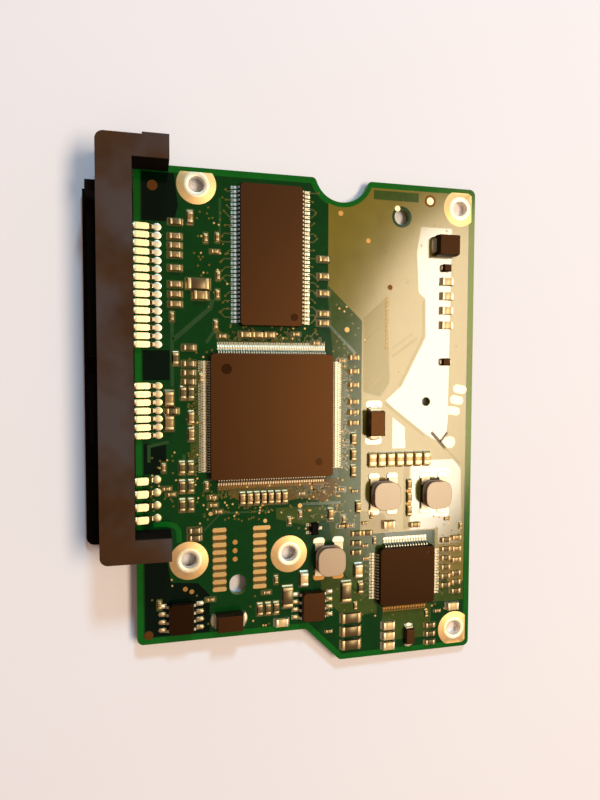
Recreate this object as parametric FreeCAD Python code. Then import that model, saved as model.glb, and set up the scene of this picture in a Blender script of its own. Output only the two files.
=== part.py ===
import FreeCAD, Part
import math
import os

# A hard drive's circuit board with its parts and its plug connector, in millimetres.
# Places on the board are measured from its left edge (x), from its lowest edge (y) and from its
# component face (z). save() moves them to the part's own origin: the middle of its box, at the bottom.

V = FreeCAD.Vector
UP = V(0, 0, 1)

# Board outline: the left part of the lower edge is stepped up, and the upper edge has a round notch
BOARD_WIDTH = 56.9
BOARD_LENGTH = 79.85
BOARD_THICKNESS = 1.2
BOARD_CORNER_RADIUS = 1.0
STEP_HEIGHT = 5.85
STEP_START = 27.1
STEP_BEND_RADIUS = 1.0
NOTCH_CENTRE = 32.95
NOTCH_RADIUS = 4.6
NOTCH_DEPTH = 3.7
NOTCH_MOUTH_RADIUS = 0.8

# Screw holes and their plated rings
SCREW_HOLE_DIAMETER = 2.5
SCREW_PAD_DIAMETER = 6.1
PAD_THICKNESS = 0.05
PAD_EDGE_MARGIN = 0.7
RIGHT_SCREW_INSET = 2.8
RIGHT_SCREW_END_INSET = 3.3
UPPER_LEFT_SCREW_X = 9.4
UPPER_LEFT_SCREW_INSET = 2.55
LOWER_SCREW_X = 8.0
LOWER_SCREW_Y = 18.7
LOWER_SCREW_SPACING = 16.15

# Plain holes: two round ones and an oval one
UPPER_HOLE_DIAMETER = 2.6
UPPER_HOLE_X = 43.4
UPPER_HOLE_INSET = 5.4
MIDDLE_HOLE_DIAMETER = 1.4
MIDDLE_HOLE_X = 48.2
MIDDLE_HOLE_Y = 43.5
OVAL_HOLE_WIDTH = 2.7
OVAL_HOLE_LENGTH = 3.3
OVAL_HOLE_X = 15.75
OVAL_HOLE_Y = 14.25

# Bare contact pads for the drive's heads and for its motor
HEAD_PAD_COUNT = 9
HEAD_PAD_PITCH = 1.2
HEAD_PAD_LENGTH = 2.3
HEAD_PAD_WIDTH = 0.8
HEAD_PAD_X = 12.8
HEAD_PAD_COLUMN_SPACING = 6.5
HEAD_PAD_FIRST_Y = 13.7
MOTOR_PAD_LENGTH = 2.5
MOTOR_PAD_WIDTH = 1.4
MOTOR_PAD_SLANT = -9.0
MOTOR_PAD_INSET = 2.35
MOTOR_PAD_FIRST_Y = 45.6
MOTOR_PAD_STEP_X = 0.6
MOTOR_PAD_STEP_Y = 1.87
MOTOR_PAD_COUNT = 3
MOTOR_ROUND_PAD_DIAMETER = 2.0
MOTOR_ROUND_PAD_INSET = 4.15
MOTOR_ROUND_PAD_Y = 36.4

# Plug connector: contact rows, counted down from the uppermost power contact
CONTACT_PITCH = 1.27
CONTACT_WIDTH = 0.84
CONTACT_THICKNESS = 0.3
POWER_COUNT = 15
SIGNAL_COUNT = 7
ROW_GAP_PITCHES = 5
POWER_ROW_INSET = 9.4
JUMPER_PITCH = 2.0
JUMPER_COUNT = 4
JUMPER_GAP = 6.9
JUMPER_PIN_SIZE = 0.64
TAIL_SHOULDER = 2.1
TAIL_HEEL = 2.65
TAIL_REACH = 3.75
PIN_TAIL_SHOULDER = 1.7
PIN_TAIL_HEEL = 2.3
PIN_TAIL_REACH = 3.4

# Plug connector: moulded housing
HOUSING_BELOW_BOARD = 1.0
ROOF_TOP = 5.9
ROOF_DEPTH = 5.0
ROOF_CORNER_RADIUS = 1.2
ROOF_END_INSET = 0.3
ROOF_STEP_X = 1.4
SHROUD_DEPTH = 7.4
FLOOR_WALL = 1.0
BACK_WALL = 1.5
END_WALL = 2.05
CAVITY_HEIGHT = 5.0
CAVITY_UPPER_MARGIN = 2.3
CAVITY_LOWER_MARGIN = 2.35
JUMPER_CAVITY_MARGIN = 1.9
UPPER_BLOCK = 3.05
UPPER_POST_WIDTH = 1.65
UPPER_POST_RECESS = 0.8
LIP_CORNER_RADIUS = 1.2
GUIDE_SLOT_WIDTH = 0.9
GUIDE_SLOT_DEPTH = 5.0
GUIDE_SLOT_HEIGHT = 3.0
TONGUE_THICKNESS = 1.23
TONGUE_BOTTOM = 0.7
TONGUE_TIP_RECESS = 0.9
TONGUE_OUTER_MARGIN = 0.82
TONGUE_KEY_MARGIN = 1.97
KEY_LEG_WIDTH = 1.2
KEY_LEG_HEIGHT = 1.1
CONTACT_TIP_RECESS = 0.4
PIN_TIP_RECESS = 2.6
ARM_WIDTH = 3.45
ARM_REACH = 5.2
UPPER_ARM_OVERHANG = 2.5
LOWER_ARM_OVERHANG = 5.25
PEG_DIAMETER = 1.5
PEG_INSET = 2.6
BOARD_EDGE_CLEARANCE = 0.05
PEG_CLEARANCE = 0.05
SLOT_CLEARANCE = 0.02

# Main controller: square package with 44 leads a side
CONTROLLER_X = 21.3
CONTROLLER_Y = 41.45
CONTROLLER_SIZE = 20.0
CONTROLLER_LEADS = 44
CONTROLLER_PITCH = 0.4
CONTROLLER_LEAD_WIDTH = 0.18
CONTROLLER_DIMPLE = 1.6
CONTROLLER_DIMPLE_INSET = 2.5

# Memory chip: long package with 33 leads on each of its two long sides
MEMORY_X = 21.1
MEMORY_Y = 66.85
MEMORY_WIDTH = 10.16
MEMORY_LENGTH = 22.22
MEMORY_HEIGHT = 1.0
MEMORY_LEADS = 33
MEMORY_PITCH = 0.65
MEMORY_LEAD_WIDTH = 0.3
MEMORY_LEAD_REACH = 0.8
MEMORY_LEAD_ROOT = 0.45
MEMORY_LEAD_FOOT = 0.45
MEMORY_DIMPLE = 1.2
MEMORY_DIMPLE_INSET = 1.5

# Motor driver: square package with 16 leads a side
DRIVER_X = 44.6
DRIVER_Y = 13.9
DRIVER_SIZE = 10.0
DRIVER_LEADS = 16
DRIVER_PITCH = 0.5
DRIVER_LEAD_WIDTH = 0.22
DRIVER_DIMPLE = 0.9
DRIVER_DIMPLE_INSET = 1.2

# Values that the thin moulded packages share
PACKAGE_STANDOFF = 0.1
PACKAGE_HEIGHT = 1.4
PACKAGE_DRAFT = 0.12
PACKAGE_CORNER = 0.35
LEAD_THICKNESS = 0.15
LEAD_ROOT = 0.65
LEAD_REACH = 1.0
LEAD_FOOT = 0.5
DIMPLE_DEPTH = 0.1

# Eight-lead packages: the settings memory and the power switch
SMALL_PACKAGE_WIDTH = 3.9
SMALL_PACKAGE_LENGTH = 4.9
SMALL_PACKAGE_LEADS = 4
SMALL_PACKAGE_PITCH = 1.27
SMALL_PACKAGE_LEAD_WIDTH = 0.42
SMALL_PACKAGE_LEAD_REACH = 1.05
SMALL_PACKAGE_LEAD_SHOULDER = 0.25
SETTINGS_MEMORY_X = 6.75
SETTINGS_MEMORY_Y = 9.85
POWER_SWITCH_X = 28.15
POWER_SWITCH_Y = 9.95

# Moulded diodes with folded terminals: length, width, height, terminal width and foot of each kind
RECTIFIER_SIZE = (4.3, 2.7, 2.2, 1.9, 1.1)
SUPPRESSOR_SIZE = (3.8, 3.4, 2.3, 2.2, 1.1)
SMALL_DIODE_SIZE = (2.7, 1.6, 1.15, 1.2, 0.6)
ZENER_SIZE = (1.5, 1.25, 0.95, 0.5, 0.3)
TERMINAL_THICKNESS = 0.2
LOWER_RECTIFIER_X = 14.3
LOWER_RECTIFIER_Y = 8.75
UPPER_RECTIFIER_X = 38.7
UPPER_RECTIFIER_Y = 40.0
SUPPRESSOR_INSET = 5.7
SUPPRESSOR_Y = 69.9
SMALL_DIODE_X = 45.4
SMALL_DIODE_Y = 3.05
ZENER_INSET = 5.35
UPPER_ZENER_Y = 66.3
LOWER_ZENER_Y = 50.3

# Small three-lead transistor
TRANSISTOR_X = 28.4
TRANSISTOR_Y = 22.7
TRANSISTOR_WIDTH = 1.3
TRANSISTOR_LENGTH = 2.0
TRANSISTOR_HEIGHT = 0.85
TRANSISTOR_LEAD_WIDTH = 0.3
TRANSISTOR_LEAD_REACH = 0.4
TRANSISTOR_LEAD_SPACING = 1.3

# Drum inductors on square bases
INDUCTOR_PLACES = [(30.9, 17.5), (40.5, 27.9), (49.8, 27.7)]
INDUCTOR_BASE = 4.8
INDUCTOR_BASE_THICKNESS = 0.5
INDUCTOR_HEIGHT = 2.4
INDUCTOR_FLANGE = 4.7
INDUCTOR_FLANGE_CORNER = 1.25
INDUCTOR_FLANGE_THICKNESS = 0.4
INDUCTOR_HUB_WIDTH = 2.0
INDUCTOR_WINDING_RECESS = 0.35
INDUCTOR_CLIP_LENGTH = 1.5
INDUCTOR_CLIP_WIDTH = 0.9
INDUCTOR_CLIP_PROUD = 0.3

# Chip parts: length, width and height of each size, and the end cap length of the larger ones
LARGE_CHIP = (3.2, 1.6, 0.65, 0.55)
MEDIUM_CHIP = (2.0, 1.25, 0.8, 0.42)
SMALL_CHIP = (1.6, 0.8, 0.6)
RIGHT_COLUMN_INSET = 5.2
DRIVER_SIDE_INSET = 4.7
DRIVER_EDGE_INSET = 2.7

# Sizes that follow from the ones above
BOARD_UNDERSIDE = -BOARD_THICKNESS
HOUSING_BOTTOM = BOARD_UNDERSIDE - HOUSING_BELOW_BOARD
CAVITY_BOTTOM = HOUSING_BOTTOM + FLOOR_WALL
CAVITY_TOP = CAVITY_BOTTOM + CAVITY_HEIGHT
HOUSING_BACK = -BOARD_EDGE_CLEARANCE
TONGUE_TIP = TONGUE_TIP_RECESS - SHROUD_DEPTH
FIRST_CONTACT_Y = BOARD_LENGTH - POWER_ROW_INSET
LAST_POWER_Y = FIRST_CONTACT_Y - (POWER_COUNT - 1) * CONTACT_PITCH
FIRST_SIGNAL_Y = LAST_POWER_Y - ROW_GAP_PITCHES * CONTACT_PITCH
LAST_SIGNAL_Y = FIRST_SIGNAL_Y - (SIGNAL_COUNT - 1) * CONTACT_PITCH
FIRST_JUMPER_Y = LAST_SIGNAL_Y - JUMPER_GAP
LAST_JUMPER_Y = FIRST_JUMPER_Y - (JUMPER_COUNT - 1) * JUMPER_PITCH
ROOF_UPPER_END = BOARD_LENGTH + UPPER_ARM_OVERHANG
ROOF_LOWER_END = LAST_JUMPER_Y - LOWER_ARM_OVERHANG
PEG_Y = ROOF_LOWER_END + ARM_WIDTH / 2
PACKAGE_TOP = PACKAGE_STANDOFF + PACKAGE_HEIGHT
RIGHT_COLUMN_X = BOARD_WIDTH - RIGHT_COLUMN_INSET
DRIVER_SIDE_X = BOARD_WIDTH - DRIVER_SIDE_INSET
DRIVER_EDGE_X = BOARD_WIDTH - DRIVER_EDGE_INSET
ORIGIN = V((BOARD_WIDTH - SHROUD_DEPTH) / 2, ROOF_UPPER_END / 2, HOUSING_BOTTOM)

# Chip parts that lie in rows: first x, first y, step in x, step in y, count, angle
BULK_CAPACITOR_ROWS = [
    (34.85, 2.55, 0.0, 2.28, 3, 0),
    (34.0, 11.6, 0.0, 0.0, 1, 90),
    (23.9, 11.6, 0.0, 0.0, 1, 90),
    (9.6, FIRST_CONTACT_Y - 8.35, 0.0, 0.0, 1, 0),
]
ROW_CAPACITOR_ROWS = [(38.4, 33.75, 1.65, 0.0, 7, 90)]
LARGE_CAPACITOR_ROWS = [
    (RIGHT_COLUMN_X, 64.0, 0.0, -2.47, 4, 0),
    (41.6, 1.65, 0.0, 1.75, 3, 0),
    (5.1, FIRST_CONTACT_Y - 26.1, 0.0, -3.75, 2, 90),
    (9.95, FIRST_CONTACT_Y - 10.1, 0.0, 0.0, 1, 0),
    (22.9, 7.5, 0.0, 0.0, 1, 0),
    (26.65, 14.4, 0.0, 0.0, 1, 90),
    (36.1, 15.1, 0.0, 0.0, 1, 90),
    (41.5, 22.6, 0.0, 0.0, 1, 0),
    (DRIVER_EDGE_X - 0.6, 7.5, 0.0, 0.0, 1, 0),
]
SMALL_CAPACITOR_ROWS = [
    (6.1, FIRST_CONTACT_Y - 1.25, 0.0, -1.4, 3, 0),
    (6.1, FIRST_CONTACT_Y - 6.05, 0.0, 0.0, 1, 0),
    (6.1, FIRST_CONTACT_Y - 8.55, 0.0, -1.5, 3, 0),
    (8.4, FIRST_CONTACT_Y + 1.75, 0.0, 0.0, 1, 90),
    (8.45, FIRST_CONTACT_Y - 29.1, 0.0, -2.65, 2, 90),
    (16.5, 28.2, 1.15, 0.0, 7, 90),
    (29.8, 66.8, 0.0, -2.75, 3, 0),
    (29.8, 58.0, 0.0, -1.5, 2, 0),
    (35.1, 50.9, 0.0, -2.25, 3, 0),
    (35.1, 43.6, 0.0, -1.75, 3, 0),
    (35.1, 37.4, 0.0, -2.7, 3, 90),
    (17.0, 54.4, 1.9, 0.0, 3, 0),
    (31.2, 24.9, 0.0, 0.0, 1, 90),
    (45.2, 29.3, 0.0, -2.2, 3, 90),
    (36.0, 25.9, 0.0, 0.0, 1, 90),
    (46.3, 22.3, 0.0, 0.0, 1, 0),
    (DRIVER_EDGE_X, 19.6, 0.0, -1.95, 3, 0),
]
SMALL_RESISTOR_ROWS = [
    (6.2, FIRST_CONTACT_Y + 0.95, 0.0, 0.0, 1, 0),
    (8.15, FIRST_CONTACT_Y - 18.2, 0.0, 0.0, 1, 0),
    (8.1, FIRST_CONTACT_Y - 20.7, 0.0, -1.4, 3, 0),
    (6.1, FIRST_CONTACT_Y - 19.9, 0.0, 0.0, 1, 90),
    (7.25, FIRST_CONTACT_Y - 25.25, 1.2, 0.0, 2, 90),
    (5.5, FIRST_CONTACT_Y - 28.05, 0.0, 0.0, 1, 0),
    (7.0, FIRST_CONTACT_Y - 36.95, 0.0, -2.95, 3, 90),
    (8.35, FIRST_CONTACT_Y - 36.95, 0.0, -2.95, 3, 90),
    (8.9, FIRST_CONTACT_Y - 46.95, 0.0, -1.2, 2, 0),
    (19.3, 9.9, 1.35, 0.0, 3, 90),
    (36.55, 12.1, 0.0, 0.0, 1, 90),
    (35.7, 21.4, 1.9, 0.0, 2, 0),
    (35.7, 19.8, 0.0, -1.6, 2, 0),
    (49.4, 4.4, 0.0, -1.5, 3, 0),
    (DRIVER_SIDE_X, 19.3, 0.0, -1.6, 6, 0),
    (DRIVER_EDGE_X, 13.3, 0.0, -1.6, 3, 0),
]


def box(x0, x1, y0, y1, z0, z1):
    """Block between two corners."""
    return Part.makeBox(x1 - x0, y1 - y0, z1 - z0, V(x0, y0, z0))


def disc(diameter, x, y, z0, z1):
    """Upright cylinder."""
    return Part.makeCylinder(diameter / 2, z1 - z0, V(x, y, z0), UP)


def slab(points, z0, z1):
    """Flat outline raised from z0 to z1."""
    corners = [V(x, y, z0) for x, y in points]
    face = Part.Face(Part.makePolygon(corners + corners[:1]))
    return face.extrude(V(0, 0, z1 - z0))


def strip(profile, width):
    """Side view in x and z, made as wide as the strip and centred on y = 0."""
    corners = [V(x, -width / 2, z) for x, z in profile]
    face = Part.Face(Part.makePolygon(corners + corners[:1]))
    return face.extrude(V(0, width, 0))


def oval(length, width, z0, z1):
    """Bar with round ends along x, centred on the origin."""
    straight = (length - width) / 2
    bar = box(-straight, straight, -width / 2, width / 2, z0, z1)
    ends = [disc(width, side * straight, 0, z0, z1) for side in (-1, 1)]
    return bar.fuse(ends).removeSplitter()


def placed(shape, x, y, angle=0, z=0):
    """Copy turned about z and moved to its place on the board."""
    copy = shape.copy()
    copy.rotate(V(0, 0, 0), UP, angle)
    copy.translate(V(x, y, z))
    return copy


def round_uprights(shape, radius, corners):
    """Round the upright edges that stand at the given corners."""
    edges = []
    for edge in shape.Edges:
        low, high = edge.Vertexes[0].Point, edge.Vertexes[-1].Point
        upright = abs(low.x - high.x) < 1e-6 and abs(low.y - high.y) < 1e-6
        if upright and any(math.hypot(low.x - x, low.y - y) < 1e-4 for x, y in corners):
            edges.append(edge)
    return shape.makeFillet(radius, edges)


def save(node, solids):
    """Write one node, moved to the part's own origin."""
    shape = solids[0] if len(solids) == 1 else Part.makeCompound(solids)
    moved = shape.copy()
    moved.translate(-ORIGIN)
    moved.exportStep("parts/" + node + ".step")


def screw_places():
    """Centres of the five screw holes."""
    right = BOARD_WIDTH - RIGHT_SCREW_INSET
    return [
        (UPPER_LEFT_SCREW_X, BOARD_LENGTH - UPPER_LEFT_SCREW_INSET),
        (right, BOARD_LENGTH - RIGHT_SCREW_END_INSET),
        (right, RIGHT_SCREW_END_INSET),
        (LOWER_SCREW_X, LOWER_SCREW_Y),
        (LOWER_SCREW_X + LOWER_SCREW_SPACING, LOWER_SCREW_Y),
    ]


def circuit_board():
    """Board with its stepped edge, notch and holes."""
    outline = [
        (0, STEP_HEIGHT),
        (STEP_START, STEP_HEIGHT),
        (STEP_START + STEP_HEIGHT, 0),
        (BOARD_WIDTH, 0),
        (BOARD_WIDTH, BOARD_LENGTH),
        (0, BOARD_LENGTH),
    ]
    board = slab(outline, BOARD_UNDERSIDE, 0)
    notch_y = BOARD_LENGTH - NOTCH_DEPTH + NOTCH_RADIUS
    board = board.cut(disc(2 * NOTCH_RADIUS, NOTCH_CENTRE, notch_y, BOARD_UNDERSIDE, 0))
    mouth = math.sqrt(NOTCH_RADIUS ** 2 - (notch_y - BOARD_LENGTH) ** 2)
    mouth_corners = [(NOTCH_CENTRE - mouth, BOARD_LENGTH), (NOTCH_CENTRE + mouth, BOARD_LENGTH)]
    board = round_uprights(board, NOTCH_MOUTH_RADIUS, mouth_corners)
    board = round_uprights(board, STEP_BEND_RADIUS, outline[1:3])
    board = round_uprights(board, BOARD_CORNER_RADIUS, outline[:1] + outline[3:])
    holes = [disc(SCREW_HOLE_DIAMETER, x, y, BOARD_UNDERSIDE, 0) for x, y in screw_places()]
    upper_hole_y = BOARD_LENGTH - UPPER_HOLE_INSET
    holes.append(disc(UPPER_HOLE_DIAMETER, UPPER_HOLE_X, upper_hole_y, BOARD_UNDERSIDE, 0))
    holes.append(disc(MIDDLE_HOLE_DIAMETER, MIDDLE_HOLE_X, MIDDLE_HOLE_Y, BOARD_UNDERSIDE, 0))
    oval_hole = oval(OVAL_HOLE_LENGTH, OVAL_HOLE_WIDTH, BOARD_UNDERSIDE, 0)
    holes.append(placed(oval_hole, OVAL_HOLE_X, OVAL_HOLE_Y, 90))
    holes.append(disc(PEG_DIAMETER + 2 * PEG_CLEARANCE, PEG_INSET, PEG_Y, BOARD_UNDERSIDE, 0))
    return board.cut(holes)


def screw_pads():
    """Plated rings round the screw holes, trimmed back from the board's edges."""
    field = box(
        PAD_EDGE_MARGIN, BOARD_WIDTH - PAD_EDGE_MARGIN,
        PAD_EDGE_MARGIN, BOARD_LENGTH - PAD_EDGE_MARGIN,
        0, PAD_THICKNESS,
    )
    pads = []
    for x, y in screw_places():
        ring = disc(SCREW_PAD_DIAMETER, x, y, 0, PAD_THICKNESS)
        ring = ring.cut(disc(SCREW_HOLE_DIAMETER, x, y, 0, PAD_THICKNESS))
        pads.append(ring.common(field).Solids[0])
    return pads


def head_contact_pads():
    """Two columns of bare pads."""
    pad = box(
        -HEAD_PAD_LENGTH / 2, HEAD_PAD_LENGTH / 2,
        -HEAD_PAD_WIDTH / 2, HEAD_PAD_WIDTH / 2,
        0, PAD_THICKNESS,
    )
    pads = []
    for column in range(2):
        x = HEAD_PAD_X + column * HEAD_PAD_COLUMN_SPACING
        for row in range(HEAD_PAD_COUNT):
            pads.append(placed(pad, x, HEAD_PAD_FIRST_Y + row * HEAD_PAD_PITCH))
    return pads


def motor_contact_pads():
    """Three slanting oval pads and a round one by the right edge."""
    pad = oval(MOTOR_PAD_LENGTH, MOTOR_PAD_WIDTH, 0, PAD_THICKNESS)
    first_x = BOARD_WIDTH - MOTOR_PAD_INSET
    pads = []
    for number in range(MOTOR_PAD_COUNT):
        x = first_x - number * MOTOR_PAD_STEP_X
        y = MOTOR_PAD_FIRST_Y - number * MOTOR_PAD_STEP_Y
        pads.append(placed(pad, x, y, MOTOR_PAD_SLANT))
    round_x = BOARD_WIDTH - MOTOR_ROUND_PAD_INSET
    pads.append(disc(MOTOR_ROUND_PAD_DIAMETER, round_x, MOTOR_ROUND_PAD_Y, 0, PAD_THICKNESS))
    return pads


def gull_wing(root, thickness, shoulder, heel, reach, width, start=0):
    """Lead that runs out level at the root's height, slopes down and ends in a flat foot."""
    set_back = thickness * math.tan(math.atan2(root, heel - shoulder) / 2)
    profile = [
        (start, root),
        (shoulder, root),
        (heel, 0),
        (reach, 0),
        (reach, thickness),
        (heel + set_back, thickness),
        (shoulder + set_back, root + thickness),
        (start, root + thickness),
    ]
    return strip(profile, width)


def contact_places(first_y, pitch, count):
    """Heights up the board of a row of contacts, from the uppermost down."""
    return [first_y - number * pitch for number in range(count)]


def blade_contacts(first_y, count):
    """Flat contacts that lie under a tongue and end in soldered tails."""
    tip = TONGUE_TIP + CONTACT_TIP_RECESS
    root = TONGUE_BOTTOM - CONTACT_THICKNESS
    contact = gull_wing(
        root, CONTACT_THICKNESS, TAIL_SHOULDER, TAIL_HEEL, TAIL_REACH, CONTACT_WIDTH, tip,
    )
    return [placed(contact, 0, y) for y in contact_places(first_y, CONTACT_PITCH, count)]


def jumper_pins():
    """Square pins in the small cavity, bent down to the board behind it."""
    middle = (CAVITY_BOTTOM + CAVITY_TOP) / 2
    root = middle - JUMPER_PIN_SIZE / 2
    tip = PIN_TIP_RECESS - SHROUD_DEPTH
    pin = gull_wing(
        root, JUMPER_PIN_SIZE, PIN_TAIL_SHOULDER, PIN_TAIL_HEEL, PIN_TAIL_REACH, JUMPER_PIN_SIZE, tip,
    )
    return [placed(pin, 0, y) for y in contact_places(FIRST_JUMPER_Y, JUMPER_PITCH, JUMPER_COUNT)]


def tongue(y_outer, y_key):
    """Blade that carries contacts on its lower face, with a key leg at one end."""
    low, high = min(y_outer, y_key), max(y_outer, y_key)
    blade = box(TONGUE_TIP, HOUSING_BACK, low, high, TONGUE_BOTTOM, TONGUE_BOTTOM + TONGUE_THICKNESS)
    inward = KEY_LEG_WIDTH if y_key < y_outer else -KEY_LEG_WIDTH
    leg_low, leg_high = sorted((y_key, y_key + inward))
    leg = box(TONGUE_TIP, HOUSING_BACK, leg_low, leg_high, TONGUE_BOTTOM - KEY_LEG_HEIGHT, TONGUE_BOTTOM)
    return [blade, leg]


def contact_slots():
    """Openings through the back wall for the contacts and the pins."""
    slots = []
    half = CONTACT_WIDTH / 2 + SLOT_CLEARANCE
    low = TONGUE_BOTTOM - CONTACT_THICKNESS - SLOT_CLEARANCE
    rows = contact_places(FIRST_CONTACT_Y, CONTACT_PITCH, POWER_COUNT)
    rows = rows + contact_places(FIRST_SIGNAL_Y, CONTACT_PITCH, SIGNAL_COUNT)
    for y in rows:
        slots.append(box(HOUSING_BACK - BACK_WALL, HOUSING_BACK, y - half, y + half, low, TONGUE_BOTTOM))
    half = JUMPER_PIN_SIZE / 2 + SLOT_CLEARANCE
    middle = (CAVITY_BOTTOM + CAVITY_TOP) / 2
    for y in contact_places(FIRST_JUMPER_Y, JUMPER_PITCH, JUMPER_COUNT):
        slot = box(HOUSING_BACK - BACK_WALL, HOUSING_BACK, y - half, y + half, middle - half, middle + half)
        slots.append(slot)
    return slots


def housing_roof():
    """Roof plate with an arm at each end, and the arms' uprights that stand on the board."""
    outline = [
        (-ROOF_DEPTH, ROOF_LOWER_END),
        (ARM_REACH, ROOF_LOWER_END),
        (ARM_REACH, ROOF_LOWER_END + ARM_WIDTH),
        (HOUSING_BACK, ROOF_LOWER_END + ARM_WIDTH),
        (HOUSING_BACK, ROOF_UPPER_END - ARM_WIDTH),
        (ARM_REACH, ROOF_UPPER_END - ARM_WIDTH),
        (ARM_REACH, ROOF_UPPER_END),
        (ROOF_STEP_X, ROOF_UPPER_END),
        (ROOF_STEP_X, ROOF_UPPER_END - ROOF_END_INSET),
        (-ROOF_DEPTH, ROOF_UPPER_END - ROOF_END_INSET),
    ]
    block = slab(outline, BOARD_UNDERSIDE, ROOF_TOP)
    block = round_uprights(block, ROOF_CORNER_RADIUS, [outline[0], outline[9]])
    lower_arm_end = ROOF_LOWER_END + ARM_WIDTH
    upper_arm_start = ROOF_UPPER_END - ARM_WIDTH
    board_side = BOARD_LENGTH + BOARD_EDGE_CLEARANCE
    under_roof = box(-ROOF_DEPTH, ARM_REACH, lower_arm_end, upper_arm_start, BOARD_UNDERSIDE, CAVITY_TOP)
    under_lower_arm = box(-ROOF_DEPTH, ARM_REACH, ROOF_LOWER_END, lower_arm_end, BOARD_UNDERSIDE, 0)
    under_upper_arm = box(-ROOF_DEPTH, ARM_REACH, upper_arm_start, board_side, BOARD_UNDERSIDE, 0)
    return block.cut([under_roof, under_lower_arm, under_upper_arm])


def connector_housing():
    """Moulded plug body: shroud, roof, arms, tongues and the peg that locates it on the board."""
    cavity_upper = FIRST_CONTACT_Y + CAVITY_UPPER_MARGIN
    cavity_lower = LAST_SIGNAL_Y - CAVITY_LOWER_MARGIN
    jumper_upper = FIRST_JUMPER_Y + JUMPER_CAVITY_MARGIN
    jumper_lower = LAST_JUMPER_Y - JUMPER_CAVITY_MARGIN
    shroud_upper = cavity_upper + UPPER_BLOCK
    shroud_lower = jumper_lower - END_WALL
    wall_front = HOUSING_BACK - BACK_WALL
    shroud = box(-SHROUD_DEPTH, HOUSING_BACK, shroud_lower, shroud_upper, HOUSING_BOTTOM, CAVITY_TOP)
    shroud = round_uprights(shroud, LIP_CORNER_RADIUS, [(-SHROUD_DEPTH, shroud_lower)])
    main_cavity = box(-SHROUD_DEPTH, wall_front, cavity_lower, cavity_upper, CAVITY_BOTTOM, CAVITY_TOP)
    jumper_cavity = box(-SHROUD_DEPTH, wall_front, jumper_lower, jumper_upper, CAVITY_BOTTOM, CAVITY_TOP)
    guide_middle = (CAVITY_BOTTOM + CAVITY_TOP) / 2
    guide_end = shroud_upper - UPPER_POST_WIDTH
    guide_slot = box(
        -SHROUD_DEPTH, GUIDE_SLOT_DEPTH - SHROUD_DEPTH,
        guide_end - GUIDE_SLOT_WIDTH, guide_end,
        guide_middle - GUIDE_SLOT_HEIGHT / 2, guide_middle + GUIDE_SLOT_HEIGHT / 2,
    )
    above_lip = box(-SHROUD_DEPTH, -ROOF_DEPTH, shroud_lower, guide_end, CAVITY_BOTTOM, CAVITY_TOP)
    post_front = UPPER_POST_RECESS - SHROUD_DEPTH
    before_post = box(-SHROUD_DEPTH, post_front, guide_end, shroud_upper, CAVITY_BOTTOM, CAVITY_TOP)
    shell = shroud.cut([main_cavity, jumper_cavity, guide_slot, above_lip, before_post])
    power_tongue = tongue(FIRST_CONTACT_Y + TONGUE_OUTER_MARGIN, LAST_POWER_Y - TONGUE_KEY_MARGIN)
    signal_tongue = tongue(LAST_SIGNAL_Y - TONGUE_OUTER_MARGIN, FIRST_SIGNAL_Y + TONGUE_KEY_MARGIN)
    peg = disc(PEG_DIAMETER, PEG_INSET, PEG_Y, BOARD_UNDERSIDE, 0)
    housing = shell.fuse(power_tongue + signal_tongue + [housing_roof(), peg])
    return housing.cut(contact_slots()).removeSplitter().Solids[0]


def cut_rectangle(size_x, size_y, inset, corner, z):
    """Wire of a rectangle, with its corners cut off where the cut has a size."""
    x, y = size_x / 2 - inset, size_y / 2 - inset
    points = [(x, -y), (x, y), (-x, y), (-x, -y)]
    if corner > 0:
        points = [
            (x, corner - y), (x, y - corner), (x - corner, y), (corner - x, y),
            (-x, y - corner), (-x, corner - y), (corner - x, -y), (x - corner, -y),
        ]
    corners = [V(px, py, z) for px, py in points]
    return Part.makePolygon(corners + corners[:1])


def moulded_body(size_x, size_y, bottom, top, band_low, band_high, corner=PACKAGE_CORNER):
    """Moulded package: sides that lean in above and below the band where its metal comes out."""
    levels = [
        (bottom, PACKAGE_DRAFT),
        (band_low, 0),
        (band_high, 0),
        (top, PACKAGE_DRAFT),
    ]
    sections = [cut_rectangle(size_x, size_y, inset, corner, z) for z, inset in levels]
    return Part.makeLoft(sections, True, True)


def dimpled(body, diameter, x, y, top):
    """Round mark moulded into the top face."""
    return body.cut(disc(diameter, x, y, top - DIMPLE_DEPTH, top))


def lead_band(root, heel):
    """Height of a sloping lead where it leaves the body."""
    return LEAD_THICKNESS / math.cos(math.atan2(root, heel))


def sloping_lead(root, foot, reach, width):
    """Short lead that slopes straight from the body down to its flat foot."""
    heel = reach - foot
    slope = math.atan2(root, heel)
    set_back = LEAD_THICKNESS * math.tan(slope / 2)
    profile = [
        (0, root),
        (heel, 0),
        (reach, 0),
        (reach, LEAD_THICKNESS),
        (heel + set_back, LEAD_THICKNESS),
        (0, root + lead_band(root, heel)),
    ]
    return strip(profile, width)


def lead_row(lead, offset, count, pitch):
    """Leads side by side along y, all starting at x = offset."""
    first = -(count - 1) * pitch / 2
    return [placed(lead, offset, first + number * pitch) for number in range(count)]


def lead_rows(lead, offset, count, pitch, angles):
    """The same row of leads on several sides of a package."""
    row = lead_row(lead, offset, count, pitch)
    return [placed(one, 0, 0, angle) for angle in angles for one in row]


def move_all(shapes, x, y, angle=0):
    """Every shape at the same place on the board."""
    return [placed(shape, x, y, angle) for shape in shapes]


def square_package(size):
    """Body of a square package."""
    band_top = LEAD_ROOT + lead_band(LEAD_ROOT, LEAD_REACH - LEAD_FOOT)
    return moulded_body(size, size, PACKAGE_STANDOFF, PACKAGE_TOP, LEAD_ROOT, band_top)


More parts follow.
